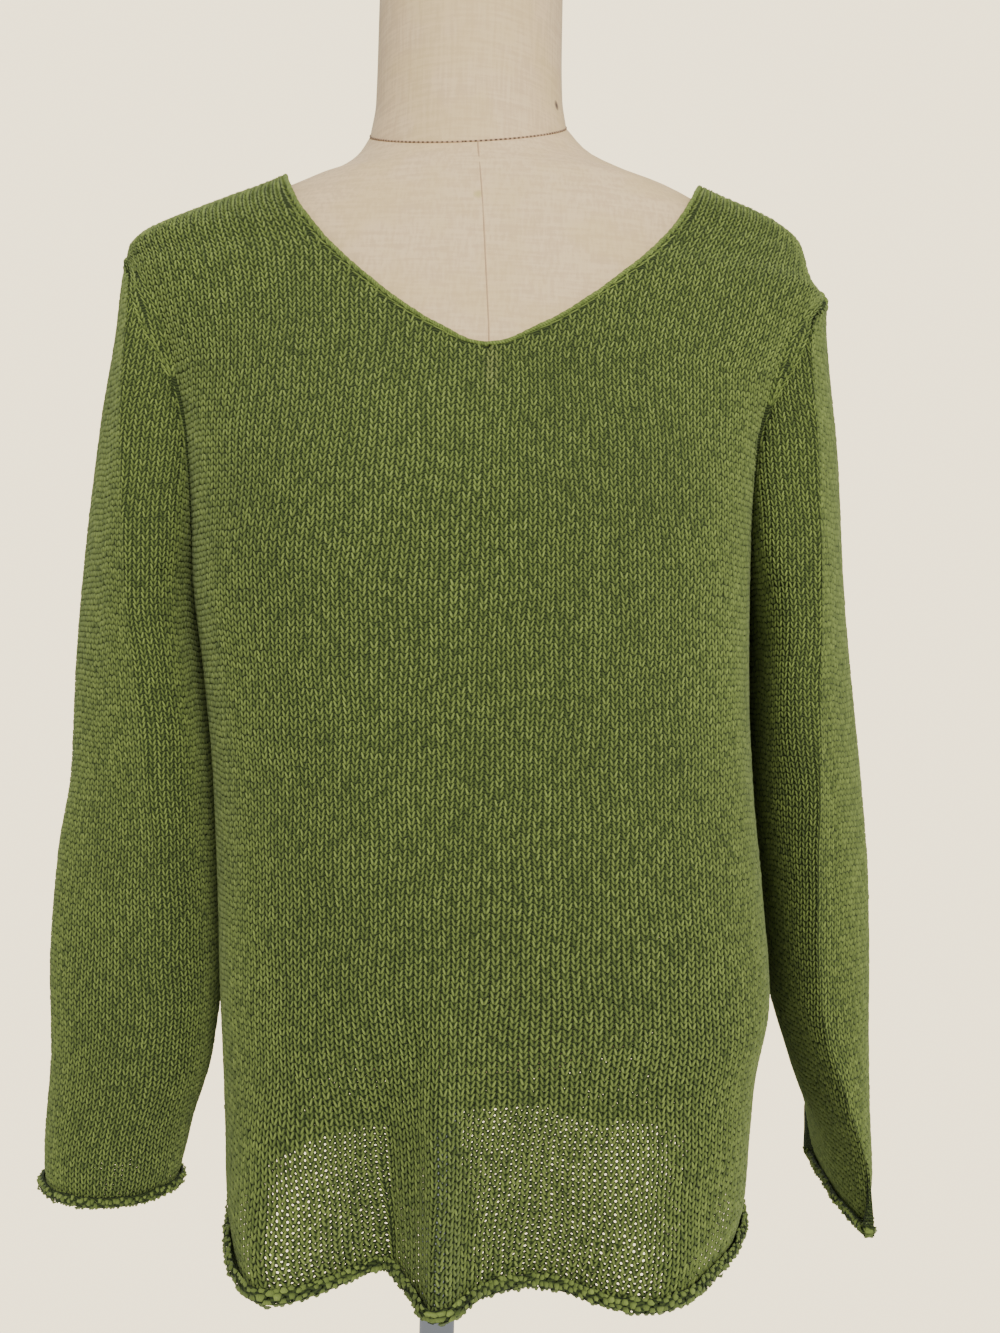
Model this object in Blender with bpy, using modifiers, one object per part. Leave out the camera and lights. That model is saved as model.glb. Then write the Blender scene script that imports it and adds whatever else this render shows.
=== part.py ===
"""A v-neck sweater on a limbless dress form with a stand.

Run with: blender --background --python part.py
Units are metres, Z is up and the floor is z = 0. The front of the sweater faces -Y, and the
viewer's right is +X. The pole's axis is x = y = 0.

The sweater is four knitted pieces: front, back and two sleeves. Each is one open surface made a
wall by Solidify, from rings worked out at heights between hem and shoulder. The rings are oval,
with their own reach to the left, right, front and back, and the folds move their points out or in.
"""

import math

import bmesh
import bpy
import numpy as np

# ---- driving dimensions: the sweater -------------------------------------------------------------

WALL = 0.002  # thickness of the knitted cloth
SEAM_GAP = 0.00045  # between two pieces at a seam, on each side of it
HEM_Z = 0.7465  # where the hem begins to curl
UNDERARM_Z = 1.120
LEFT_TIP_Z = 1.3170  # the shoulder seam's outer end, on the viewer's left
RIGHT_TIP_Z = 1.3035
NECK_POINT_Z = 1.3635  # where the neck edge meets the shoulder seam
V_BOTTOM_Z = 1.2455
BACK_NECK_Z = 1.3475  # the back neck's lowest point
BACK_SAG_Z = 1.250  # above this the back's rows sink towards the middle, down to the neck edge
BACK_SAG_SQUARE = 3.0  # above 1 the back neck is flatter in the middle
MIDDLE_X = 0.017  # the sweater hangs this far to the right of the form's axis
ARMHOLE_DEPTH = 0.050  # how far the armhole's seam lies in front of and behind its ends
ARMHOLE_ROUND = 0.8  # below 1 the armhole is fuller than an oval
TIP_RELIEF = 0.0017  # more gap where the sleeve turns down over the shoulder's tip
TIP_SHARE = 0.8  # that gap begins this far up the armhole
TIP_GAP = 0.0012  # front and back stand this far from the middle at the shoulder's tip
TIP_GAP_REACH = 0.060  # that far above the tip the gap has closed to SEAM_GAP
SEAM_BULGE = 0.0012  # the sleeve's creases stand at least this far past the armhole's seam
ROWS_BELOW = 12  # between the hem and the underarm
SLEEVE_ROWS = 11  # between the cuff and the underarm
ARMHOLE_TURNS = (180, 165, 150, 135, 120, 106, 92, 81, 71, 61, 51, 41, 30, 16, 0)  # degrees
SHOULDER_SHARES = (0.13, 0.27, 0.42, 0.57, 0.72, 0.87, 1.0)  # of the way from tip to neck point

CURL_RADIUS = 0.0020  # inside the curl of the hem
CUFF_CURL_RADIUS = 0.0016
CURL_TURN = math.radians(262.0)
CURL_STEPS = 7

HALF_COLUMNS_FRONT = 16  # from the middle to the side
HALF_COLUMNS_BACK = 12
COLUMN_CROWDING = 1.25  # above 1 the columns lie closer at the middle
SLEEVE_ARC_COLUMNS = (5, 6, 6, 5)  # seam to front crease, to the outside, to back crease, to seam
FULL_SQUARE = 1.0  # how boxy full cloth is inside a sleeve's creases

BODY_COLUMNS = ("z", "left", "right", "front", "back", "square_front", "square_back_left",
                "square_back_right")
BODY_RINGS = (
    (0.735, -0.1160, 0.1780, -0.1260, 0.1215, 2.7, 1.6, 3.0),
    (0.765, -0.1260, 0.1850, -0.1260, 0.1210, 2.8, 1.7, 3.0),
    (0.800, -0.1290, 0.1870, -0.1260, 0.1205, 2.8, 1.7, 3.0),
    (0.830, -0.1320, 0.1900, -0.1255, 0.1200, 2.7, 1.8, 2.9),
    (0.875, -0.1360, 0.1980, -0.1250, 0.1195, 2.6, 1.9, 2.7),
    (0.940, -0.1400, 0.1925, -0.1245, 0.1190, 2.5, 2.1, 2.5),
    (1.000, -0.1440, 0.1855, -0.1245, 0.1180, 2.5, 2.2, 2.4),
    (1.060, -0.1510, 0.1815, -0.1245, 0.1175, 2.5, 2.3, 2.4),
    (1.120, -0.1595, 0.1805, -0.1235, 0.1165, 2.5, 2.3, 2.3),
    (1.150, -0.1610, 0.1810, -0.1225, 0.1165, 2.5, 2.3, 2.3),
    (1.200, -0.1670, 0.1850, -0.1130, 0.1165, 2.6, 2.3, 2.3),
    (1.240, -0.1800, 0.1980, -0.1015, 0.1135, 2.6, 2.3, 2.3),
    (1.270, -0.1940, 0.2120, -0.0935, 0.1095, 2.5, 2.3, 2.3),
    (1.300, -0.2070, 0.2240, -0.0865, 0.1045, 2.4, 2.2, 2.2),
    (1.313, -0.2105, 0.2175, -0.0835, 0.1025, 2.2, 2.1, 2.1),
    (1.322, -0.2095, 0.2145, -0.0815, 0.1010, 2.2, 2.0, 2.0),
    (1.329, -0.2045, 0.2130, -0.0800, 0.0995, 2.1, 2.0, 2.0),
    (1.336, -0.1895, 0.2105, -0.0785, 0.0980, 2.1, 2.0, 2.0),
    (1.345, -0.1675, 0.1990, -0.0765, 0.0955, 2.1, 2.0, 2.0),
    (1.354, -0.1430, 0.1765, -0.0740, 0.0930, 2.1, 2.0, 2.0),
    (1.365, -0.1170, 0.1490, -0.0710, 0.0895, 2.1, 2.0, 2.0),
)

# Half the opening's width at heights above the lowest point of the v.
NECK_COLUMNS = ("rise", "half")
V_EDGE = ((0.0000, 0.0000), (0.0015, 0.0090), (0.0040, 0.0150), (0.0080, 0.0220),
          (0.0160, 0.0365), (0.0290, 0.0550), (0.0430, 0.0720), (0.0610, 0.0910),
          (0.0870, 0.1110), (0.1180, 0.1255))

# Folds of the body. A fold rises out of the ring, or is a trough where its depth is below 0.
# It stands at x on the hem and leans to x_top where it dies away; soft_left and soft_right are
# the half widths of its two flanks.
FOLD_COLUMNS = ("x", "x_top", "z_low", "z_top", "depth", "soft_left", "soft_right")
FRONT_FOLDS = (
    (0.006, 0.000, 0.700, 0.935, 0.0290, 0.009, 0.015),
    (-0.021, -0.030, 0.700, 0.900, -0.0250, 0.022, 0.010),
    (0.054, 0.060, 0.700, 0.860, -0.0140, 0.022, 0.026),
    (-0.093, -0.083, 0.700, 0.860, 0.0480, 0.034, 0.032),
    (0.120, 0.115, 0.700, 0.860, 0.0260, 0.034, 0.034),
)
FOLD_END_POWER = 12.0  # above 1: the folds keep their depth until close to the side seams
BACK_FOLDS = (
    (-0.010, 0.000, 0.700, 0.960, -0.0100, 0.022, 0.030),
    (0.060, 0.050, 0.700, 0.930, 0.0110, 0.024, 0.026),
    (0.115, 0.110, 0.700, 0.880, -0.0070, 0.020, 0.024),
)

# A sleeve's ring has four corners: outside, front crease, inside and back crease. The inside
# corner is read below the underarm only, and above it the ring ends on the armhole.
SLEEVE_COLUMNS = ("z", "outer", "inner", "front_x", "front_y", "back_x", "back_y", "crease_front",
                  "crease_back", "fullness")
SLEEVE_RIGHT = (
    (0.738, -0.2510, -0.1640, -0.2050, -0.0370, -0.2080, 0.0390, 0.10, 0.20, 0.0),
    (0.775, -0.2490, -0.1590, -0.1950, -0.0400, -0.2060, 0.0420, 0.15, 0.25, 0.1),
    (0.820, -0.2465, -0.1475, -0.1800, -0.0430, -0.2030, 0.0450, 0.20, 0.30, 0.2),
    (0.880, -0.2490, -0.1425, -0.1690, -0.0470, -0.2000, 0.0490, 0.30, 0.35, 0.3),
    (0.946, -0.2460, -0.1450, -0.1690, -0.0540, -0.1970, 0.0560, 0.50, 0.40, 0.5),
    (1.000, -0.2390, -0.1490, -0.1740, -0.0600, -0.1960, 0.0630, 0.60, 0.40, 0.8),
    (1.062, -0.2375, -0.1560, -0.1810, -0.0660, -0.1950, 0.0700, 0.60, 0.35, 1.0),
    (1.127, -0.2330, -0.1640, -0.1870, -0.0700, -0.1950, 0.0760, 0.55, 0.30, 1.0),
    (1.215, -0.2230, -0.1640, -0.1930, -0.0660, -0.1960, 0.0710, 0.50, 0.25, 0.4),
    (1.268, -0.2140, -0.1640, -0.1940, -0.0560, -0.1960, 0.0610, 0.40, 0.20, 0.1),
    (1.295, -0.2115, -0.1640, -0.1980, -0.0410, -0.1990, 0.0450, 0.20, 0.15, 0.0),
    (1.308, -0.2110, -0.1640, -0.2040, -0.0240, -0.2040, 0.0250, 0.10, 0.10, 0.0),
    (1.316, -0.2105, -0.1640, -0.2085, -0.0080, -0.2085, 0.0080, 0.00, 0.00, 0.0),
)
SLEEVE_LEFT = (
    (0.7415, 0.2615, 0.2460, 0.2535, -0.0560, 0.2480, 0.0600, 0.25, 0.30, 0.0),
    (0.775, 0.2640, 0.2400, 0.2520, -0.0570, 0.2460, 0.0620, 0.30, 0.30, 0.0),
    (0.820, 0.2650, 0.2225, 0.2380, -0.0580, 0.2380, 0.0630, 0.30, 0.30, 0.0),
    (0.875, 0.2650, 0.2060, 0.2210, -0.0590, 0.2310, 0.0650, 0.35, 0.35, 0.2),
    (0.940, 0.2635, 0.1985, 0.2160, -0.0620, 0.2260, 0.0670, 0.50, 0.40, 0.4),
    (1.000, 0.2580, 0.1900, 0.2150, -0.0650, 0.2220, 0.0700, 0.60, 0.40, 0.6),
    (1.062, 0.2500, 0.1860, 0.2130, -0.0680, 0.2190, 0.0730, 0.60, 0.35, 1.0),
    (1.127, 0.2420, 0.1850, 0.2115, -0.0700, 0.2160, 0.0760, 0.55, 0.30, 1.0),
    (1.205, 0.2360, 0.1850, 0.2080, -0.0660, 0.2120, 0.0710, 0.50, 0.25, 0.4),
    (1.255, 0.2295, 0.1850, 0.2060, -0.0560, 0.2090, 0.0610, 0.40, 0.20, 0.1),
    (1.282, 0.2265, 0.1850, 0.2100, -0.0410, 0.2110, 0.0450, 0.20, 0.15, 0.0),
    (1.296, 0.2260, 0.1850, 0.2180, -0.0240, 0.2180, 0.0250, 0.10, 0.10, 0.0),
    (1.304, 0.2255, 0.1850, 0.2235, -0.0080, 0.2235, 0.0080, 0.00, 0.00, 0.0),
)

# ---- driving dimensions: the form and its stand --------------------------------------------------

FORM_COLUMNS = ("z", "left", "right", "front", "back", "tilt", "lean", "square")
FORM_RINGS = (
    (0.845, -0.1180, 0.1180, -0.0920, 0.0920, 0.00, 0.000, 2.2),
    (0.852, -0.1250, 0.1250, -0.0980, 0.0980, 0.00, 0.000, 2.2),
    (0.900, -0.1260, 0.1260, -0.0990, 0.0980, 0.00, 0.000, 2.2),
    (0.970, -0.1230, 0.1230, -0.0970, 0.0920, 0.00, 0.000, 2.2),
    (1.040, -0.1310, 0.1310, -0.1040, 0.0960, 0.00, 0.000, 2.2),
    (1.100, -0.1430, 0.1430, -0.1140, 0.1050, 0.00, 0.000, 2.3),
    (1.150, -0.1480, 0.1480, -0.1175, 0.1110, 0.00, 0.000, 2.4),
    (1.200, -0.1520, 0.1530, -0.1080, 0.1120, 0.00, 0.000, 2.4),
    (1.240, -0.1620, 0.1650, -0.0970, 0.1090, 0.00, 0.000, 2.4),
    (1.270, -0.1740, 0.1790, -0.0890, 0.1050, 0.00, 0.000, 2.3),
    (1.295, -0.1880, 0.1930, -0.0825, 0.1000, 0.00, 0.000, 2.2),
    (1.314, -0.1950, 0.1990, -0.0780, 0.0960, 0.00, 0.000, 2.1),
    (1.329, -0.1850, 0.1980, -0.0750, 0.0930, 0.00, 0.000, 2.0),
    (1.342, -0.1600, 0.1850, -0.0720, 0.0890, 0.03, 0.000, 2.0),
    (1.356, -0.1290, 0.1560, -0.0690, 0.0830, 0.08, 0.000, 2.0),
    (1.371, -0.0990, 0.1280, -0.0660, 0.0755, 0.16, 0.000, 2.0),
    (1.382, -0.0800, 0.1000, -0.0635, 0.0680, 0.28, 0.015, 2.0),
    (1.394, -0.0680, 0.0750, -0.0605, 0.0600, 0.42, 0.040, 2.0),
    (1.407, -0.0612, 0.0618, -0.0580, 0.0540, 0.57, 0.065, 2.0),
)
NECK_RINGS = (
    (1.407, -0.0612, 0.0618, -0.0580, 0.0540, 0.57, 0.065, 2.0),
    (1.425, -0.0582, 0.0590, -0.0565, 0.0545, 0.40, 0.045, 2.0),
    (1.450, -0.0578, 0.0580, -0.0560, 0.0555, 0.20, 0.020, 2.0),
    (1.475, -0.0577, 0.0577, -0.0560, 0.0560, 0.05, 0.000, 2.0),
    (1.500, -0.0575, 0.0575, -0.0560, 0.0560, 0.00, 0.000, 2.0),
)
FORM_COLUMNS_ROUND = 36
NECK_COLUMNS_ROUND = 32
CONTACT_GAP = 0.0003  # between hard pieces that meet
NECK_LIFT = 0.0006  # between the neck and the torso, along the tilted seam

CAP_RADIUS = 0.0545
CAP_HEIGHT = 0.010
PLATE_RADIUS = 0.055
PLATE_HEIGHT = 0.006
POLE_RADIUS = 0.011
SOCKET_RADIUS = 0.019
SOCKET_HEIGHT = 0.055
BASE_RADIUS = 0.150
BASE_HEIGHT = 0.012
DISC_SIDES = 24
SMALL_BEVEL = 0.0015
BASE_BEVEL = 0.003

KNIT_GREEN = (0.155, 0.205, 0.050, 1.0)
LINEN = (0.560, 0.500, 0.420, 1.0)
WOOD = (0.300, 0.190, 0.100, 1.0)
CHROME = (0.800, 0.800, 0.800, 1.0)
BLACK_PAINT = (0.030, 0.030, 0.032, 1.0)


# ---- helpers -------------------------------------------------------------------------------------

def smooth_between(heights, values, height):
    """Read a table's column between its rows with a cubic that never overshoots them."""
    x = np.asarray(heights, float)
    y = np.asarray(values, float)
    step = np.diff(x)
    slope = np.diff(y) / step
    before, after = slope[:-1], slope[1:]
    same_way = before * after > 0.0
    mean = 2.0 * before * after / np.where(same_way, before + after, 1.0)
    tangent = np.concatenate((slope[:1], np.where(same_way, mean, 0.0), slope[-1:]))
    place = float(np.clip(height, x[0], x[-1]))
    k = int(np.clip(np.searchsorted(x, place) - 1, 0, len(step) - 1))
    t = (place - x[k]) / step[k]
    start = y[k] * (1 + 2 * t) * (1 - t) ** 2 + tangent[k] * step[k] * t * (1 - t) ** 2
    end = y[k + 1] * t * t * (3 - 2 * t) + tangent[k + 1] * step[k] * t * t * (t - 1)
    return float(start + end)


def read_table(columns, rows, height):
    """One row of a table at a height between its own, as a dictionary of its columns."""
    first = [row[0] for row in rows]
    found = {}
    for k, name in enumerate(columns):
        found[name] = smooth_between(first, [row[k] for row in rows], height)
    return found


def new_material(name, colour, roughness, metallic=0.0):
    """A plain Principled material."""
    material = bpy.data.materials.new(name)
    material.use_nodes = True
    shader = material.node_tree.nodes["Principled BSDF"]
    shader.inputs["Base Color"].default_value = colour
    shader.inputs["Roughness"].default_value = roughness
    shader.inputs["Metallic"].default_value = metallic
    return material


def new_object(name, mesh, material, collection):
    """Put a mesh into the scene as one named piece."""
    mesh.materials.append(material)
    piece = bpy.data.objects.new(name, mesh)
    collection.objects.link(piece)
    return piece


def mesh_from_grids(name, grids, closed=False, capped=False):
    """A mesh from grids of points, [row][column], whose common edges become one."""
    work = bmesh.new()
    for grid in grids:
        vertices = [[work.verts.new(point) for point in row] for row in grid]
        columns = len(vertices[0])
        last = columns if closed else columns - 1
        for low, high in zip(vertices[:-1], vertices[1:]):
            for k in range(last):
                after = (k + 1) % columns
                work.faces.new((low[k], low[after], high[after], high[k]))
        if capped:
            work.faces.new(list(reversed(vertices[0])))
            work.faces.new(vertices[-1])
    bmesh.ops.remove_doubles(work, verts=work.verts, dist=0.00002)
    mesh = bpy.data.meshes.new(name)
    work.to_mesh(mesh)
    work.free()
    mesh.shade_smooth()
    mesh.set_sharp_from_angle(angle=math.radians(50.0))
    return mesh


def add_wall(piece):
    """Give an open surface the cloth's thickness, on its inner side."""
    wall = piece.modifiers.new("wall", "SOLIDIFY")
    wall.thickness = WALL
    wall.offset = -1.0
    wall.use_even_offset = True
    wall.use_quality_normals = True


# ---- the sweater's body --------------------------------------------------------------------------

def body_ring(z):
    """The body's ring at a height: its centre, reach and squareness."""
    ring = read_table(BODY_COLUMNS, BODY_RINGS, z)
    ring["middle"] = (ring["left"] + ring["right"]) / 2
    ring["half"] = (ring["right"] - ring["left"]) / 2
    return ring


def squareness(ring, angle):
    """How boxy the ring is in the quarter that holds an angle; 2 is a plain oval."""
    if math.cos(angle) > 0.0:
        return ring["square_front"]
    return ring["square_back_left"] if math.sin(angle) < 0.0 else ring["square_back_right"]


def fold_out(folds, x, z):
    """How far the folds move the point at x and z out of the ring."""
    total = 0.0
    for row in folds:
        fold = dict(zip(FOLD_COLUMNS, row))
        up = (z - fold["z_low"]) / (fold["z_top"] - fold["z_low"])
        if not 0.0 <= up < 1.0:
            continue
        centre = fold["x"] + (fold["x_top"] - fold["x"]) * up
        width = fold["soft_left"] if x < centre else fold["soft_right"]
        total += fold["depth"] * (1.0 - up * up) ** 2 * math.exp(-((x - centre) / width) ** 2)
    return total


def body_point(z, angle, ring=None):
    """The outer surface at an angle round the ring: 0 in front, positive to the viewer's right."""
    ring = ring or body_ring(z)
    depth = -ring["front"] if math.cos(angle) > 0.0 else ring["back"]
    power = squareness(ring, angle)
    along_x = abs(math.sin(angle)) / ring["half"]
    along_y = abs(math.cos(angle)) / depth
    reach = (along_x ** power + along_y ** power) ** (-1.0 / power)
    x = ring["middle"] + reach * math.sin(angle)
    facing = 1 if math.cos(angle) > 0.0 else -1
    folds = FRONT_FOLDS if facing > 0 else BACK_FOLDS
    fold = fold_out(folds, x, z) * (1.0 - abs(math.sin(angle)) ** FOLD_END_POWER)
    return (x, -reach * math.cos(angle) - facing * fold, z)


def angle_at_x(z, x, facing):
    """The ring's angle at x, in front for facing 1 and behind for facing -1."""
    ring = body_ring(z)
    side = math.copysign(1.0, x - ring["middle"])
    guess = 0.0 if facing > 0 else side * math.pi
    power = squareness(ring, guess + side * 0.01 * facing)
    depth = -ring["front"] if facing > 0 else ring["back"]
    share = min(abs(x - ring["middle"]) / ring["half"], 1.0)
    y = depth * (1.0 - share ** power) ** (1.0 / power)
    return math.atan2(x - ring["middle"], y * facing)


def tip_height(side):
    """Height of the shoulder seam's outer end: side -1 left, 1 right, 0 their mean."""
    return (LEFT_TIP_Z + RIGHT_TIP_Z) / 2 + side * (RIGHT_TIP_Z - LEFT_TIP_Z) / 2


def armhole_share(z, side):
    """How far up the armhole a height lies: 0 at the underarm, 1 at the shoulder's tip."""
    return (z - UNDERARM_Z) / (tip_height(side) - UNDERARM_Z)


def armhole_y(z, side):
    """How far from the side the armhole's seam lies at a height."""
    up = armhole_share(z, side)
    if not 0.0 < up < 1.0:
        return 0.0
    return ARMHOLE_DEPTH * math.sin(math.acos(2.0 * up - 1.0)) ** ARMHOLE_ROUND


def edge_angle(z, side, facing):
    """The angle at which a panel ends: at the side seam, the armhole or the shoulder seam."""
    ring = body_ring(z)
    tip_gap = TIP_GAP * (1.0 - abs(z - tip_height(side)) / TIP_GAP_REACH)
    y = max(armhole_y(z, side), tip_gap, SEAM_GAP)
    depth = -ring["front"] if facing > 0 else ring["back"]
    power = squareness(ring, side * (math.pi / 2 - 0.01 * facing))
    x = ring["half"] * (1.0 - (y / depth) ** power) ** (1.0 / power)
    return math.atan2(side * x, y * facing)


def row_heights(side):
    """Heights of the rows from the hem up, at one side's edge or, for side 0, at the middle.

    They lie closer at both ends of the armhole. One of the middle's is the v's lowest point."""
    tip = tip_height(side)
    middle = (tip + UNDERARM_Z) / 2
    half = (tip - UNDERARM_Z) / 2
    heights = [HEM_Z + (UNDERARM_Z - HEM_Z) * k / ROWS_BELOW for k in range(ROWS_BELOW)]
    heights += [middle + half * math.cos(math.radians(turn)) for turn in ARMHOLE_TURNS]
    heights += [tip + (NECK_POINT_Z - tip) * share for share in SHOULDER_SHARES]
    if side == 0:
        nearest = min(range(len(heights)), key=lambda k: abs(heights[k] - V_BOTTOM_Z))
        heights[nearest] = V_BOTTOM_Z
    return heights


def v_half(z):
    """Half the width of the v at a height."""
    if z <= V_BOTTOM_Z + 1e-6:
        return 0.0
    return read_table(NECK_COLUMNS, V_EDGE, z - V_BOTTOM_Z)["half"]


def back_sag(z):
    """How far a row of the back, at a height on its side edge, sinks at its middle."""
    up = max(0.0, (z - BACK_SAG_Z) / (NECK_POINT_Z - BACK_SAG_Z))
    return (NECK_POINT_Z - BACK_NECK_Z) * up * up


def curl_rows(start, outward, radius):
    """Rows of a curl that begins at a row of points and turns out and up from it."""
    rows = []
    for k in range(CURL_STEPS, 0, -1):
        turn = CURL_TURN * k / CURL_STEPS
        out = radius * (1.0 - math.cos(turn))
        down = radius * math.sin(turn)
        rows.append([(p[0] + n[0] * out, p[1] + n[1] * out, p[2] - down)
                     for p, n in zip(start, outward)])
    return rows


def outward_of(row, closed):
    """Level unit vectors square to a row of points, to the right of its run."""
    count = len(row)
    found = []
    for k in range(count):
        before = row[(k - 1) % count] if closed else row[max(k - 1, 0)]
        after = row[(k + 1) % count] if closed else row[min(k + 1, count - 1)]
        run = np.array((after[0] - before[0], after[1] - before[1]))
        run = run / np.linalg.norm(run)
        found.append((run[1], -run[0]))
    return found


def half_panel(side, facing, columns):
    """Rows of one half of the front or back, from its middle or the v's edge to its side.

    The front's rows are level and end on the v. The back's sink to the neck edge, the last row."""
    rows = []
    for middle_z, edge_z in zip(row_heights(0), row_heights(side)):
        neck_x = MIDDLE_X + side * (v_half(middle_z) if facing > 0 else 0.0)
        start = angle_at_x(middle_z, neck_x, facing)
        end = edge_angle(edge_z, side, facing)
        if facing < 0:  # measured from the middle of the back, so that no angle jumps
            start = side * (start * side % (2 * math.pi))
        row = []
        for k in range(columns + 1):
            share = (k / columns) ** COLUMN_CROWDING
            z = middle_z + (edge_z - middle_z) * share * share
            if facing < 0:
                z -= back_sag(middle_z) * (1.0 - share ** BACK_SAG_SQUARE)
            row.append(body_point(z, start + (end - start) * share))
        rows.append(row)
    return rows


def build_panel(name, facing, columns, material, collection):
    """The front (facing 1) or the back (facing -1), with its curled hem."""
    grids = []
    for side in (-1, 1):
        rows = half_panel(side, facing, columns)
        if side * facing < 0:
            rows = [list(reversed(row)) for row in rows]
        outward = outward_of(rows[0], closed=False)
        middle = len(rows[0]) - 1 if side * facing < 0 else 0
        outward[middle] = (0.0, -float(facing))
        grids.append(curl_rows(rows[0], outward, CURL_RADIUS) + rows)
    mesh = mesh_from_grids(name, grids)
    piece = new_object(name, mesh, material, collection)
    add_wall(piece)
    return piece


# ---- the sleeves ---------------------------------------------------------------------------------

def arc_points(start, end, crease, fullness, columns):
    """Points of a quarter oval from a crease at start to end, where it runs along Y.

    The crease's share makes the start pointed; at 0 the oval is round there too. The fullness
    makes the arc boxy and takes the point away."""
    points = []
    point = crease * (1.0 - fullness)
    power = 1.0 / (1.0 + FULL_SQUARE * fullness)
    for k in range(columns + 1):
        turn = math.pi / 2 * k / columns
        across = abs(math.sin(turn)) ** power
        along = abs(math.cos(turn)) ** power if k < columns else 0.0
        fall = (1.0 - point) * along + point * (1.0 - across)
        points.append((start[0] + (end[0] - start[0]) * across,
                       end[1] + (start[1] - end[1]) * fall))
    return points


def past(value, limit, way):
    """The value, or the limit where the value lies short of it; way is 1 or -1."""
    return way * max(way * value, way * limit)


def sleeve_row(z, side, table):
    """A sleeve's ring at a height, from the seam on its inside round the outside and back to it."""
    size = read_table(SLEEVE_COLUMNS, table, z)
    outer = (size["outer"], 0.0)
    front = (size["front_x"], size["front_y"])
    back = (size["back_x"], size["back_y"])
    if z > UNDERARM_Z + 1e-6:
        near_tip = max(0.0, (armhole_share(z, side) - TIP_SHARE) / (1.0 - TIP_SHARE))
        gap = SEAM_GAP + TIP_RELIEF * near_tip
        ends = []
        for facing in (1, -1):
            x, y, _ = body_point(z, edge_angle(z, side, facing))
            ends.append((x + side * gap, y))
        front = (past(front[0], ends[0][0], side), past(front[1], ends[0][1] - SEAM_BULGE, -1))
        back = (past(back[0], ends[1][0], side), past(back[1], ends[1][1] + SEAM_BULGE, 1))
        outer = (past(outer[0], ends[0][0] + side * SEAM_BULGE, side), 0.0)
    else:
        inner = size["inner"]
        if z > UNDERARM_Z - 1e-6:
            inner = body_ring(z)["left" if side < 0 else "right"] + side * SEAM_GAP
        ends = [(inner, 0.0), (inner, 0.0)]
    counts = SLEEVE_ARC_COLUMNS
    arcs = (arc_points(front, ends[0], size["crease_front"], size["fullness"], counts[0]),
            arc_points(front, outer, size["crease_front"], 0.0, counts[1]),
            arc_points(back, outer, size["crease_back"], 0.0, counts[2]),
            arc_points(back, ends[1], size["crease_back"], size["fullness"], counts[3]))
    row = arcs[0][::-1] + arcs[1][1:] + arcs[2][-2::-1] + arcs[3][1:]
    return [(x, y, z) for x, y in row]


def build_sleeve(name, side, table, material, collection):
    """A sleeve: a tube from the armhole down to its curled cuff."""
    cuff_z = table[0][0] + CUFF_CURL_RADIUS + WALL
    heights = [cuff_z + (UNDERARM_Z - cuff_z) * k / SLEEVE_ROWS for k in range(SLEEVE_ROWS)]
    tip = tip_height(side)
    heights += [z for z in row_heights(side) if UNDERARM_Z - 1e-6 < z < tip - 1e-4]
    rows = [sleeve_row(z, side, table) for z in heights]
    if side < 0:
        rows = [list(reversed(row)) for row in rows]
    outward = outward_of(rows[0][:-1], closed=True)
    outward.append(outward[0])
    grid = curl_rows(rows[0], outward, CUFF_CURL_RADIUS) + rows
    piece = new_object(name, mesh_from_grids(name, [grid]), material, collection)
    add_wall(piece)
    return piece


# ---- the form and its stand ----------------------------------------------------------------------

def form_row(values, columns, lift=0.0):
    """One ring of the form, on its own tilted plane."""
    size = dict(zip(FORM_COLUMNS, values))
    middle = (size["left"] + size["right"]) / 2
    half = (size["right"] - size["left"]) / 2
    row = []
    for k in range(columns):
        angle = 2 * math.pi * k / columns
        depth = -size["front"] if math.cos(angle) > 0.0 else size["back"]
        power = size["square"]
        along_x = abs(math.sin(angle)) / half
        along_y = abs(math.cos(angle)) / depth
        reach = (along_x ** power + along_y ** power) ** (-1.0 / power)
        x = middle + reach * math.sin(angle)
        y = -reach * math.cos(angle)
        row.append((x, y, size["z"] + size["tilt"] * y + size["lean"] * x + lift))
    return row


def build_form(torso_material, collection):
    """The padded torso and the neck that is sewn on along a tilted seam."""
    torso_rows = [form_row(values, FORM_COLUMNS_ROUND) for values in FORM_RINGS]
    torso = mesh_from_grids("form_torso", [torso_rows], closed=True, capped=True)
    new_object("form_torso", torso, torso_material, collection)
    neck_rows = []
    for k, values in enumerate(NECK_RINGS):
        lift = NECK_LIFT * (1.0 - k / (len(NECK_RINGS) - 1))
        neck_rows.append(form_row(values, NECK_COLUMNS_ROUND, lift))
    neck = mesh_from_grids("form_neck", [neck_rows], closed=True, capped=True)
    new_object("form_neck", neck, torso_material, collection)


def add_disc(name, radius, height, bottom, bevel, material, collection):
    """An upright round piece on the pole's axis, with rounded rims."""
    bpy.ops.mesh.primitive_cylinder_add(vertices=DISC_SIDES, radius=radius, depth=height)
    piece = bpy.context.object
    piece.name = name
    piece.data.name = name
    piece.location = (0.0, 0.0, bottom + height / 2)
    piece.data.materials.append(material)
    for holder in list(piece.users_collection):
        holder.objects.unlink(piece)
    collection.objects.link(piece)
    if bevel > 0.0:
        rims = piece.modifiers.new("rims", "BEVEL")
        rims.width = bevel
        rims.segments = 1
        rims.limit_method = "ANGLE"
        rims.angle_limit = math.radians(60.0)
    piece.data.shade_smooth()
    piece.data.set_sharp_from_angle(angle=math.radians(40.0))
    return piece


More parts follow.
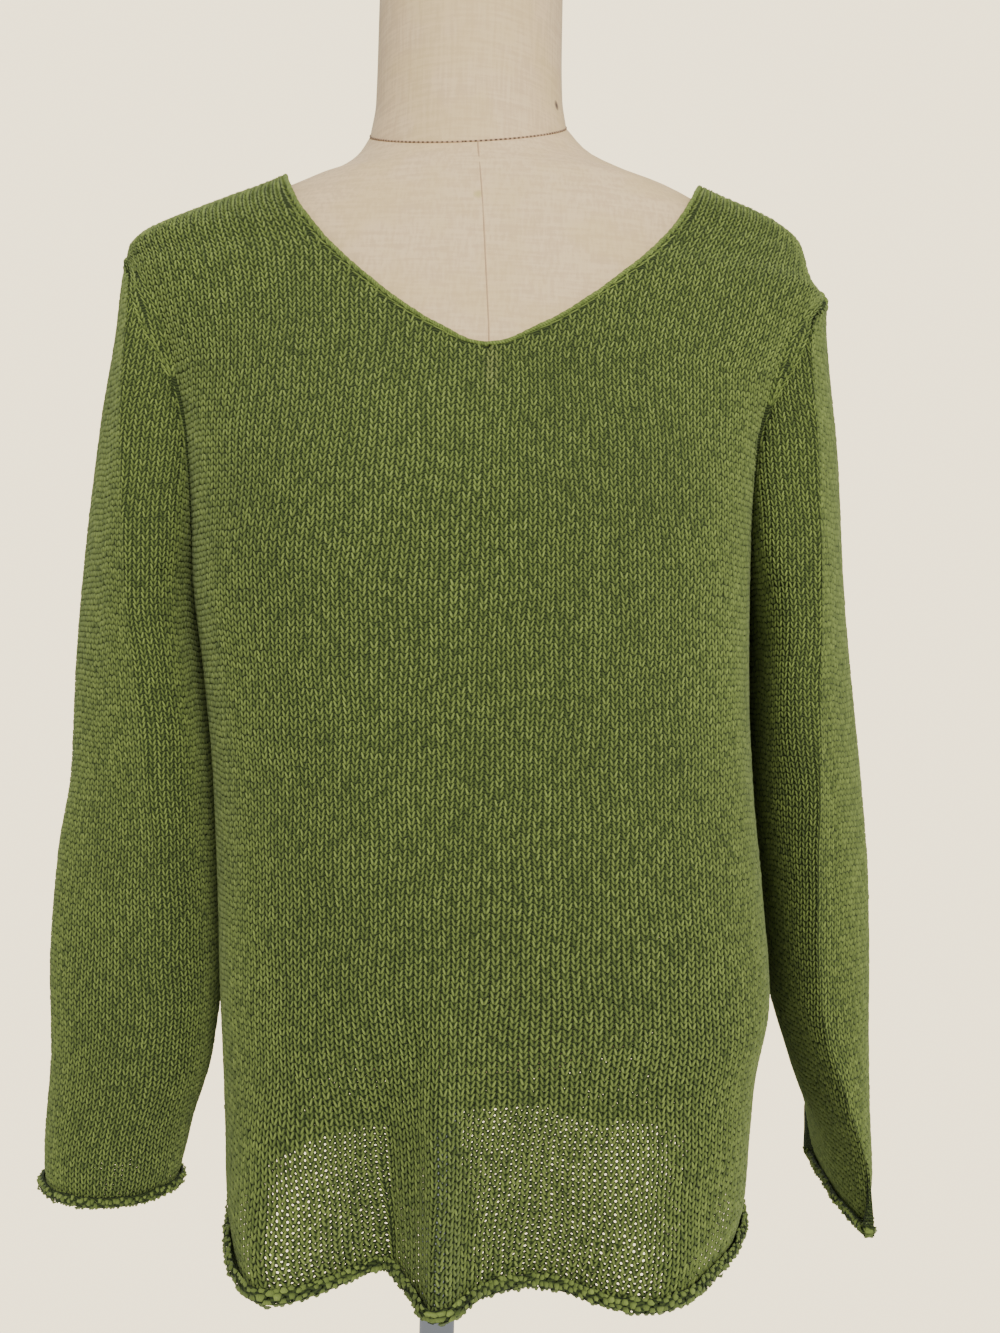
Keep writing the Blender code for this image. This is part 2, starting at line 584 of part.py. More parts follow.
def build_stand(wood, chrome, paint, collection):
    """The cap on the neck, and the plate, pole, socket and base under the torso."""
    neck_top = NECK_RINGS[-1][0]
    form_bottom = FORM_RINGS[0][0]
    plate_z = form_bottom - CONTACT_GAP - PLATE_HEIGHT
    socket_z = BASE_HEIGHT + CONTACT_GAP
    pole_z = socket_z + SOCKET_HEIGHT + CONTACT_GAP
    pole_height = plate_z - CONTACT_GAP - pole_z
    add_disc("neck_cap", CAP_RADIUS, CAP_HEIGHT, neck_top + CONTACT_GAP, BASE_BEVEL, wood,
             collection)
    add_disc("form_plate", PLATE_RADIUS, PLATE_HEIGHT, plate_z, SMALL_BEVEL, paint, collection)
    add_disc("pole", POLE_RADIUS, pole_height, pole_z, 0.0, chrome, collection)
    add_disc("base_socket", SOCKET_RADIUS, SOCKET_HEIGHT, socket_z, SMALL_BEVEL, chrome,
             collection)
    add_disc("base", BASE_RADIUS, BASE_HEIGHT, 0.0, BASE_BEVEL, paint, collection)


def main():
    """Clear the scene and build every piece."""
    for old in list(bpy.data.objects):
        bpy.data.objects.remove(old, do_unlink=True)
    collection = bpy.data.collections.new("v_neck_sweater_on_form")
    bpy.context.scene.collection.children.link(collection)

    knit = new_material("knit_green", KNIT_GREEN, 0.85)
    linen = new_material("linen_cover", LINEN, 0.80)
    wood = new_material("cap_wood", WOOD, 0.45)
    chrome = new_material("chrome", CHROME, 0.12, 1.0)
    paint = new_material("black_paint", BLACK_PAINT, 0.40)

    build_panel("front", 1, HALF_COLUMNS_FRONT, knit, collection)
    build_panel("back", -1, HALF_COLUMNS_BACK, knit, collection)
    build_sleeve("sleeve_right", -1, SLEEVE_RIGHT, knit, collection)
    build_sleeve("sleeve_left", 1, SLEEVE_LEFT, knit, collection)
    build_form(linen, collection)
    build_stand(wood, chrome, paint, collection)


main()
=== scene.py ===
"""A green v-neck sweater on a linen dress form with a pole and a round base.

The sweater is plain stockinette. Each of its four pieces is a thin ground of purl loops with the
legs of every stitch laid on it as small yarn grains. Ground and legs are read from one surface,
which is worked out from the same named sizes as the solids, at any wale and course.
Units are metres, Z is up, the sweater's front faces -Y and the viewer's right is +X.
"""

import logging
import math
from dataclasses import dataclass, field
from enum import Enum
from typing import Sequence

import bmesh
import bpy
import numpy as np
from mathutils import Matrix, Vector


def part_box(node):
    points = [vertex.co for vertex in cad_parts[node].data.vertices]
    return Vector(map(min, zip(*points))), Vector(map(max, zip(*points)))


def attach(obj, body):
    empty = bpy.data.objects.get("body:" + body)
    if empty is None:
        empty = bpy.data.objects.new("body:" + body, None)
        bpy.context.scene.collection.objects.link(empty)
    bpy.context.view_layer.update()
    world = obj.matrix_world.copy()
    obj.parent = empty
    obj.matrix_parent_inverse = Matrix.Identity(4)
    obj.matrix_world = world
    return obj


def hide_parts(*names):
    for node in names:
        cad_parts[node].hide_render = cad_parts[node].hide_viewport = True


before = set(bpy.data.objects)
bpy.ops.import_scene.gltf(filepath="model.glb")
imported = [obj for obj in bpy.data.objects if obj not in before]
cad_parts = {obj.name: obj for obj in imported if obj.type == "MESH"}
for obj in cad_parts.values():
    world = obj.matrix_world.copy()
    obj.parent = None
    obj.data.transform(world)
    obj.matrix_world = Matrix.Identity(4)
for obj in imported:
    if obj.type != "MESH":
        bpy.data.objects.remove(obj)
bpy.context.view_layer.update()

LOG = logging.getLogger("v_neck_sweater")
Array = np.ndarray
Colour = tuple[float, float, float, float]
Socket = bpy.types.NodeSocket

# ---- sizes shared by the pieces ------------------------------------------------------------------

WALL = 0.002  # thickness of the knitted cloth
SEAM_GAP = 0.00045
HEM_Z = 0.7465
UNDERARM_Z = 1.120
TIP_Z = {-1: 1.3170, 1: 1.3035}  # the shoulder seam's outer end, left and right of the viewer
NECK_POINT_Z = 1.3635
V_BOTTOM_Z = 1.2455
BACK_NECK_Z = 1.3475
BACK_SAG_Z = 1.250
BACK_SAG_SQUARE = 3.0
MIDDLE_X = 0.017
ARMHOLE_DEPTH = 0.050
ARMHOLE_ROUND = 0.8
TIP_GAP = 0.0012
TIP_GAP_REACH = 0.060
SEAM_BULGE = 0.0012
ROWS_BELOW = 12
ARMHOLE_TURNS = (180, 165, 150, 135, 120, 106, 92, 81, 71, 61, 51, 41, 30, 16, 0)
SHOULDER_SHARES = (0.13, 0.27, 0.42, 0.57, 0.72, 0.87, 1.0)
CURL_TURN = math.radians(268.0)
FOLD_END_POWER = 12.0
PER_COURSE = 2.0  # rows of a surface's grid in one course

WALE = 0.00485  # one stitch across
COURSE = 0.0033  # one stitch along
GROUND_DEPTH = 0.0007  # the ground lies this far under the cloth's outer face
GROUND_WALL = 0.0010
HALF_WALES = 46.5  # from the middle of the front to the side seam
ARMHOLE_WALES = 40.5  # of them at the height of the v's bottom
TIP_WALES = 43.0
SHOULDER_WALE = 0.0049
SLEEVE_WALES_CUFF = 58.0
SLEEVE_WALES_TOP = 74.0
SIDES = {-1: "left", 1: "right"}  # of the viewer, as they end the names of pieces

# How hand-fed yarn strays: size, radians a course, radians a wale, phase.
STRAY_ASIDE = ((0.08, 0.39, 0.21, 1.3), (0.08, 0.21, -0.33, 3.7))
STRAY_ALONG = ((0.17, 0.071, 0.83, 0.4), (0.15, -0.113, 0.47, 2.1), (0.08, 0.043, 1.31, 4.0))
SWAY_WAVES = ((1.0, 41.0, 0.9), (0.6, 87.0, 2.2))  # of the hem: size, radians a metre, phase
SWAY_REACH = 14.0  # courses
MESH_REACH = 0.000004  # points nearer than this are one

BODY_COLUMNS = ("z", "left", "right", "front", "back", "square_front", "square_back_left",
                "square_back_right")
BODY_RINGS = (
    (0.735, -0.1160, 0.1780, -0.1260, 0.1215, 2.7, 1.6, 3.0),
    (0.765, -0.1260, 0.1850, -0.1260, 0.1210, 2.8, 1.7, 3.0),
    (0.800, -0.1290, 0.1870, -0.1260, 0.1205, 2.8, 1.7, 3.0),
    (0.830, -0.1320, 0.1900, -0.1255, 0.1200, 2.7, 1.8, 2.9),
    (0.875, -0.1360, 0.1980, -0.1250, 0.1195, 2.6, 1.9, 2.7),
    (0.940, -0.1400, 0.1925, -0.1245, 0.1190, 2.5, 2.1, 2.5),
    (1.000, -0.1440, 0.1855, -0.1245, 0.1180, 2.5, 2.2, 2.4),
    (1.060, -0.1510, 0.1815, -0.1245, 0.1175, 2.5, 2.3, 2.4),
    (1.120, -0.1595, 0.1805, -0.1235, 0.1165, 2.5, 2.3, 2.3),
    (1.150, -0.1610, 0.1810, -0.1225, 0.1165, 2.5, 2.3, 2.3),
    (1.200, -0.1670, 0.1850, -0.1130, 0.1165, 2.6, 2.3, 2.3),
    (1.240, -0.1800, 0.1980, -0.1015, 0.1135, 2.6, 2.3, 2.3),
    (1.270, -0.1940, 0.2120, -0.0935, 0.1095, 2.5, 2.3, 2.3),
    (1.300, -0.2070, 0.2240, -0.0865, 0.1045, 2.4, 2.2, 2.2),
    (1.313, -0.2105, 0.2175, -0.0835, 0.1025, 2.2, 2.1, 2.1),
    (1.322, -0.2095, 0.2145, -0.0815, 0.1010, 2.2, 2.0, 2.0),
    (1.329, -0.2045, 0.2130, -0.0800, 0.0995, 2.1, 2.0, 2.0),
    (1.336, -0.1895, 0.2105, -0.0785, 0.0980, 2.1, 2.0, 2.0),
    (1.345, -0.1675, 0.1990, -0.0765, 0.0955, 2.1, 2.0, 2.0),
    (1.354, -0.1430, 0.1765, -0.0740, 0.0930, 2.1, 2.0, 2.0),
    (1.365, -0.1170, 0.1490, -0.0710, 0.0895, 2.1, 2.0, 2.0),
)

# Half the v's width, and the wales that end on its edge so far, at heights above its bottom.
NECK_COLUMNS = ("rise", "half", "wales")
V_EDGE = ((0.0000, 0.0000, 0.0), (0.0015, 0.0090, 1.8), (0.0040, 0.0150, 3.0),
          (0.0080, 0.0220, 4.5), (0.0160, 0.0365, 7.4), (0.0290, 0.0550, 11.0),
          (0.0430, 0.0720, 14.2), (0.0610, 0.0910, 17.2), (0.0870, 0.1110, 18.7),
          (0.1180, 0.1255, 19.2))

FOLD_COLUMNS = ("x", "x_top", "z_low", "z_top", "depth", "soft_left", "soft_right")
FRONT_FOLDS = (
    (0.006, 0.000, 0.700, 0.935, 0.0290, 0.009, 0.015),
    (-0.021, -0.030, 0.700, 0.900, -0.0250, 0.022, 0.010),
    (0.054, 0.060, 0.700, 0.860, -0.0140, 0.022, 0.026),
    (-0.093, -0.083, 0.700, 0.860, 0.0480, 0.034, 0.032),
    (0.120, 0.115, 0.700, 0.860, 0.0260, 0.034, 0.034),
)
BACK_FOLDS = (
    (-0.010, 0.000, 0.700, 0.960, -0.0100, 0.022, 0.030),
    (0.060, 0.050, 0.700, 0.930, 0.0110, 0.024, 0.026),
    (0.115, 0.110, 0.700, 0.880, -0.0070, 0.020, 0.024),
)

SLEEVE_COLUMNS = ("z", "outer", "inner", "front_x", "front_y", "back_x", "back_y", "crease_front",
                  "crease_back", "fullness")
SLEEVE_RIGHT = (
    (0.738, -0.2510, -0.1640, -0.2050, -0.0370, -0.2080, 0.0390, 0.10, 0.20, 0.0),
    (0.775, -0.2490, -0.1590, -0.1950, -0.0400, -0.2060, 0.0420, 0.15, 0.25, 0.1),
    (0.820, -0.2465, -0.1475, -0.1800, -0.0430, -0.2030, 0.0450, 0.20, 0.30, 0.2),
    (0.880, -0.2490, -0.1425, -0.1690, -0.0470, -0.2000, 0.0490, 0.30, 0.35, 0.3),
    (0.946, -0.2460, -0.1450, -0.1690, -0.0540, -0.1970, 0.0560, 0.50, 0.40, 0.5),
    (1.000, -0.2390, -0.1490, -0.1740, -0.0600, -0.1960, 0.0630, 0.60, 0.40, 0.8),
    (1.062, -0.2375, -0.1560, -0.1810, -0.0660, -0.1950, 0.0700, 0.60, 0.35, 1.0),
    (1.127, -0.2330, -0.1640, -0.1870, -0.0700, -0.1950, 0.0760, 0.55, 0.30, 1.0),
    (1.215, -0.2230, -0.1640, -0.1930, -0.0660, -0.1960, 0.0710, 0.50, 0.25, 0.4),
    (1.268, -0.2140, -0.1640, -0.1940, -0.0560, -0.1960, 0.0610, 0.40, 0.20, 0.1),
    (1.295, -0.2115, -0.1640, -0.1980, -0.0410, -0.1990, 0.0450, 0.20, 0.15, 0.0),
    (1.308, -0.2110, -0.1640, -0.2040, -0.0240, -0.2040, 0.0250, 0.10, 0.10, 0.0),
    (1.316, -0.2105, -0.1640, -0.2085, -0.0080, -0.2085, 0.0080, 0.00, 0.00, 0.0),
)
SLEEVE_LEFT = (
    (0.7415, 0.2615, 0.2460, 0.2535, -0.0560, 0.2480, 0.0600, 0.25, 0.30, 0.0),
    (0.775, 0.2640, 0.2400, 0.2520, -0.0570, 0.2460, 0.0620, 0.30, 0.30, 0.0),
    (0.820, 0.2650, 0.2225, 0.2380, -0.0580, 0.2380, 0.0630, 0.30, 0.30, 0.0),
    (0.875, 0.2650, 0.2060, 0.2210, -0.0590, 0.2310, 0.0650, 0.35, 0.35, 0.2),
    (0.940, 0.2635, 0.1985, 0.2160, -0.0620, 0.2260, 0.0670, 0.50, 0.40, 0.4),
    (1.000, 0.2580, 0.1900, 0.2150, -0.0650, 0.2220, 0.0700, 0.60, 0.40, 0.6),
    (1.062, 0.2500, 0.1860, 0.2130, -0.0680, 0.2190, 0.0730, 0.60, 0.35, 1.0),
    (1.127, 0.2420, 0.1850, 0.2115, -0.0700, 0.2160, 0.0760, 0.55, 0.30, 1.0),
    (1.205, 0.2360, 0.1850, 0.2080, -0.0660, 0.2120, 0.0710, 0.50, 0.25, 0.4),
    (1.255, 0.2295, 0.1850, 0.2060, -0.0560, 0.2090, 0.0610, 0.40, 0.20, 0.1),
    (1.282, 0.2265, 0.1850, 0.2100, -0.0410, 0.2110, 0.0450, 0.20, 0.15, 0.0),
    (1.296, 0.2260, 0.1850, 0.2180, -0.0240, 0.2180, 0.0250, 0.10, 0.10, 0.0),
    (1.304, 0.2255, 0.1850, 0.2235, -0.0080, 0.2235, 0.0080, 0.00, 0.00, 0.0),
)

FORM_COLUMNS = ("z", "left", "right", "front", "back", "tilt", "lean", "square")
FORM_RINGS = (
    (0.845, -0.1180, 0.1180, -0.0920, 0.0920, 0.00, 0.000, 2.2),
    (0.852, -0.1250, 0.1250, -0.0980, 0.0980, 0.00, 0.000, 2.2),
    (0.900, -0.1260, 0.1260, -0.0990, 0.0980, 0.00, 0.000, 2.2),
    (0.970, -0.1230, 0.1230, -0.0970, 0.0920, 0.00, 0.000, 2.2),
    (1.040, -0.1310, 0.1310, -0.1040, 0.0960, 0.00, 0.000, 2.2),
    (1.100, -0.1430, 0.1430, -0.1140, 0.1050, 0.00, 0.000, 2.3),
    (1.150, -0.1480, 0.1480, -0.1175, 0.1110, 0.00, 0.000, 2.4),
    (1.200, -0.1520, 0.1530, -0.1080, 0.1120, 0.00, 0.000, 2.4),
    (1.240, -0.1620, 0.1650, -0.0970, 0.1090, 0.00, 0.000, 2.4),
    (1.270, -0.1740, 0.1790, -0.0890, 0.1050, 0.00, 0.000, 2.3),
    (1.295, -0.1880, 0.1930, -0.0825, 0.1000, 0.00, 0.000, 2.2),
    (1.314, -0.1950, 0.1990, -0.0780, 0.0960, 0.00, 0.000, 2.1),
    (1.329, -0.1850, 0.1980, -0.0750, 0.0930, 0.00, 0.000, 2.0),
    (1.342, -0.1600, 0.1850, -0.0720, 0.0890, 0.03, 0.000, 2.0),
    (1.356, -0.1290, 0.1560, -0.0690, 0.0830, 0.08, 0.000, 2.0),
    (1.371, -0.0990, 0.1280, -0.0660, 0.0755, 0.16, 0.000, 2.0),
    (1.382, -0.0800, 0.1000, -0.0635, 0.0680, 0.28, 0.015, 2.0),
    (1.394, -0.0680, 0.0750, -0.0605, 0.0600, 0.42, 0.040, 2.0),
    (1.407, -0.0612, 0.0618, -0.0580, 0.0540, 0.57, 0.065, 2.0),
)
NECK_RINGS = (
    (1.407, -0.0612, 0.0618, -0.0580, 0.0540, 0.57, 0.065, 2.0),
    (1.425, -0.0582, 0.0590, -0.0565, 0.0545, 0.40, 0.045, 2.0),
    (1.450, -0.0578, 0.0580, -0.0560, 0.0555, 0.20, 0.020, 2.0),
    (1.475, -0.0577, 0.0577, -0.0560, 0.0560, 0.05, 0.000, 2.0),
    (1.500, -0.0575, 0.0575, -0.0560, 0.0560, 0.00, 0.000, 2.0),
)


class Face(Enum):
    """Which way a panel of the body faces."""

    FRONT = 1
    BACK = -1


# ---- reading tables and making meshes ------------------------------------------------------------

def read_between(places: Array, values: Array, at: Array) -> Array:
    """Read values between their places with a monotone cubic.

    The slope at a place is the harmonic mean of the slopes on both sides of it, or 0 where they
    point different ways, so that the curve never overshoots.

    Args:
        places: The rising places of the values.
        values: One value for each place.
        at: Where to read.

    Returns:
        The values there, in the shape of at.
    """
    step = np.diff(places)
    slope = np.diff(values) / step
    before, after = slope[:-1], slope[1:]
    same_way = before * after > 0.0
    mean = 2.0 * before * after / np.where(same_way, before + after, 1.0)
    tangent = np.concatenate((slope[:1], np.where(same_way, mean, 0.0), slope[-1:]))
    place = np.clip(at, places[0], places[-1])
    k = np.clip(np.searchsorted(places, place) - 1, 0, len(step) - 1)
    t = (place - places[k]) / step[k]
    start = values[k] * (1 + 2 * t) * (1 - t) ** 2 + tangent[k] * step[k] * t * (1 - t) ** 2
    end = values[k + 1] * t * t * (3 - 2 * t) + tangent[k + 1] * step[k] * t * t * (t - 1)
    return start + end


@dataclass(frozen=True)
class SizeTable:
    """A short table of sizes whose first column is the place of each row."""

    columns: tuple[str, ...]
    rows: tuple[tuple[float, ...], ...]

    def read(self, at: Array) -> dict[str, Array]:
        """Read every column between the rows.

        Args:
            at: Places between the first and the last row.

        Returns:
            Each column's values there, by its name.
        """
        values = np.array(self.rows, float)
        at = np.asarray(at, float)
        return {name: read_between(values[:, 0], values[:, k], at)
                for k, name in enumerate(self.columns)}


def soft_noise(at: Array, seed: int, waves: int = 5) -> Array:
    """A smooth uneven line: a sum of sines whose lengths and phases are drawn from a seed.

    Args:
        at: Where to read it, one wave of the longest sine is 1 long.
        seed: Draws the phases.
        waves: How many sines are summed.

    Returns:
        Values of about -1 to 1, in the shape of at.
    """
    draw = np.random.default_rng(seed)
    total = np.zeros_like(at, dtype=float)
    for k in range(waves):
        rate = 1.0 + 1.7 * k + draw.random()
        total += np.sin(2 * math.pi * (at * rate + draw.random())) / (1.0 + 0.6 * k)
    return total / 2.0


def soften(values: Array, reach: int) -> Array:
    """Round the corners of an evenly sampled line.

    Args:
        values: The line's values.
        reach: How many samples on each side are weighed in.

    Returns:
        The weighed means, as many as the values.
    """
    weight = np.hanning(2 * reach + 3)[1:-1]
    padded = np.pad(values, reach, mode="reflect", reflect_type="odd")
    return np.convolve(padded, weight / weight.sum(), "valid")


def grid_faces(rows: int, columns: int) -> Array:
    """Corner numbers of the quads of a grid, [face][4], with the columns counted fastest."""
    k = np.arange((rows - 1) * columns).reshape(rows - 1, columns)[:, :-1].ravel()
    return np.stack((k, k + 1, k + columns + 1, k + columns), axis=1)


def mesh_from_arrays(name: str, points: Array, faces: Array, uv: Array | None = None,
                     tones: Array | None = None) -> bpy.types.Mesh:
    """Put whole arrays into a mesh.

    Args:
        name: The mesh's name.
        points: Its points, [point][3].
        faces: The corner numbers of its faces, [face][3 or 4].
        uv: One place for each point on the pattern map, [point][2].
        tones: One shade for each point.

    Returns:
        The smooth-shaded mesh.
    """
    sides = faces.shape[1]
    mesh = bpy.data.meshes.new(name)
    mesh.vertices.add(len(points))
    mesh.vertices.foreach_set("co", np.asarray(points, np.float32).ravel())
    mesh.loops.add(faces.size)
    mesh.loops.foreach_set("vertex_index", faces.astype(np.int32).ravel())
    mesh.polygons.add(len(faces))
    mesh.polygons.foreach_set("loop_start", np.arange(0, faces.size, sides, dtype=np.int32))
    if uv is not None:
        layer = mesh.uv_layers.new(name="pattern")
        layer.data.foreach_set("uv", uv[faces.ravel()].astype(np.float32).ravel())
    if tones is not None:
        shade = mesh.attributes.new("tone", "FLOAT", "POINT")
        shade.data.foreach_set("value", tones.astype(np.float32))
    mesh.update(calc_edges=True)
    mesh.validate()
    mesh.shade_smooth()
    return mesh


def merge_doubles(mesh: bpy.types.Mesh, reach: float = 0.00003) -> None:
    """Join the points of a mesh that lie within reach of each other."""
    work = bmesh.new()
    work.from_mesh(mesh)
    bmesh.ops.remove_doubles(work, verts=work.verts, dist=reach)
    work.to_mesh(mesh)
    work.free()


def place_piece(mesh: bpy.types.Mesh, finish: bpy.types.Material) -> bpy.types.Object:
    """Put a mesh into the scene as a piece that rides on the part.

    Args:
        mesh: The finished mesh.
        finish: Its material.

    Returns:
        The new object.
    """
    mesh.materials.append(finish)
    piece = bpy.data.objects.new(mesh.name, mesh)
    bpy.context.scene.collection.objects.link(piece)
    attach(piece, "root")
    mesh.calc_loop_triangles()
    LOG.info("%s: %d triangles", piece.name, len(mesh.loop_triangles))
    return piece


def tube_points(path: Array, radii: Array, sides: int) -> Array:
    """Rings of points round a path.

    Each ring stands square to the path. Its first axis is the path's run crossed with up.

    Args:
        path: The middle line, [step][3].
        radii: The radius at each step.
        sides: Points in a ring.

    Returns:
        The points, [step][side][3].
    """
    run = np.gradient(path, axis=0)
    run /= np.linalg.norm(run, axis=1, keepdims=True)
    up = np.tile((0.0, 0.0, 1.0), (len(path), 1))
    up[np.abs(run[:, 2]) > 0.97] = (0.0, -1.0, 0.0)
    across = np.cross(run, up)
    across /= np.linalg.norm(across, axis=1, keepdims=True)
    over = np.cross(across, run)
    turn = np.linspace(0.0, 2 * math.pi, sides + 1)[:-1]
    return (path[:, None, :] + radii[:, None, None] * (
        np.cos(turn)[None, :, None] * across[:, None, :]
        + np.sin(turn)[None, :, None] * over[:, None, :]))


def tube_mesh(name: str, path: Array, radii: Array, sides: int = 10) -> bpy.types.Mesh:
    """A closed tube round a path, whose ends run out to their middle points.

    Args:
        name: The mesh's name.
        path: The middle line, [step][3].
        radii: The radius at each step.
        sides: Points in a ring.

    Returns:
        The mesh. Its pattern map runs round the tube from 0 to 1 and along it in
        millimetres.
    """
    rings = tube_points(path, radii, sides)
    rings = np.concatenate((np.repeat(path[:1, None], sides, axis=1), rings,
                            np.repeat(path[-1:, None], sides, axis=1)))
    rings = np.concatenate((rings, rings[:, :1]), axis=1)
    steps = np.linalg.norm(np.diff(rings.mean(axis=1), axis=0), axis=1)
    along = np.concatenate(([0.0], np.cumsum(steps))) * 1000.0
    uv = np.stack(np.broadcast_arrays(np.linspace(0.0, 1.0, sides + 1)[None, :],
                                      along[:, None]), axis=-1)
    mesh = mesh_from_arrays(name, rings.reshape(-1, 3), grid_faces(len(rings), sides + 1)[:, ::-1],
                            uv.reshape(-1, 2))
    merge_doubles(mesh, 0.000001)
    return mesh


# ---- finishes ------------------------------------------------------------------------------------

class NodeBench:
    """Lays out the nodes of one material."""

    def __init__(self, name: str) -> None:
        """Start a material with an empty Principled shader."""
        self.material = bpy.data.materials.new(name)
        self.material.use_nodes = True
        self.tree = self.material.node_tree
        self.shader = self.tree.nodes["Principled BSDF"]

    def put(self, kind: str, settings: dict | None = None, **inputs: object) -> bpy.types.Node:
        """Add a node.

        Args:
            kind: The node's type without its prefix.
            settings: Attributes of the node.
            inputs: Values or sockets for its inputs; spaces in their names are underscores.

        Returns:
            The node.
        """
        node = self.tree.nodes.new("ShaderNode" + kind)
        for name, value in (settings or {}).items():
            setattr(node, name, value)
        for name, value in inputs.items():
            self.join(node.inputs[name.replace("_", " ")], value)
        return node

    def pattern(self) -> tuple[Socket, Socket]:
        """The two numbers of the pattern map."""
        place = self.put("UVMap", {"uv_map": "pattern"}).outputs[0]
        parts = self.put("SeparateXYZ", Vector=place)
        return parts.outputs[0], parts.outputs[1]

    def where(self) -> Socket:
        """The place on the part in metres."""
        return self.put("TexCoord").outputs["Object"]

    def noise(self, where: Socket, scale: float, detail: float) -> Socket:
        """Soft clouds of about 0 to 1, finer with a larger scale."""
        return self.put("TexNoise", Vector=where, Scale=scale, Detail=detail).outputs["Fac"]

    def stretched(self, where: Socket, scale: tuple[float, float, float]) -> Socket:
        """A place stretched along the axes."""
        return self.put("Mapping", Vector=where, Scale=scale).outputs[0]

    def join(self, socket: Socket, value: object) -> None:
        """Link a socket into another, or set its value."""
        if isinstance(value, Socket):
            self.tree.links.new(value, socket)
        else:
            socket.default_value = value

    def math(self, operation: str, *terms: object) -> Socket:
        """One arithmetic step on values or sockets."""
        node = self.tree.nodes.new("ShaderNodeMath")
        node.operation = operation
        for socket, term in zip(node.inputs, terms):
            self.join(socket, term)
        return node.outputs[0]

    def mix(self, share: object, first: object, second: object,
            blend: str = "MIX") -> Socket:
        """Blend two colours by a share."""
        node = self.tree.nodes.new("ShaderNodeMix")
        node.data_type = "RGBA"
        node.blend_type = blend
        self.join(node.inputs[0], share)
        self.join(node.inputs[6], first)
        self.join(node.inputs[7], second)
        return node.outputs[2]

    def ramp(self, value: object, stops: Sequence[tuple[float, float]]) -> Socket:
        """Map a value to another one through stops of (value, result)."""
        node = self.tree.nodes.new("ShaderNodeFloatCurve")
        curve = node.mapping.curves[0]
        curve.points[0].location = stops[0]
        curve.points[1].location = stops[-1]
        for stop in stops[1:-1]:
            curve.points.new(*stop)
        node.mapping.update()
        self.join(node.inputs["Value"], value)
        return node.outputs[0]

    def bump(self, height: object, distance: float, strength: float) -> Socket:
        """A bump of so many metres."""
        return self.put("Bump", Strength=strength, Distance=distance, Height=height).outputs[0]

    def wear(self, **inputs: object) -> bpy.types.Material:
        """Set the shader's inputs and hand the material over."""
        for name, value in inputs.items():
            self.join(self.shader.inputs[name.replace("_", " ")], value)
        return self.material


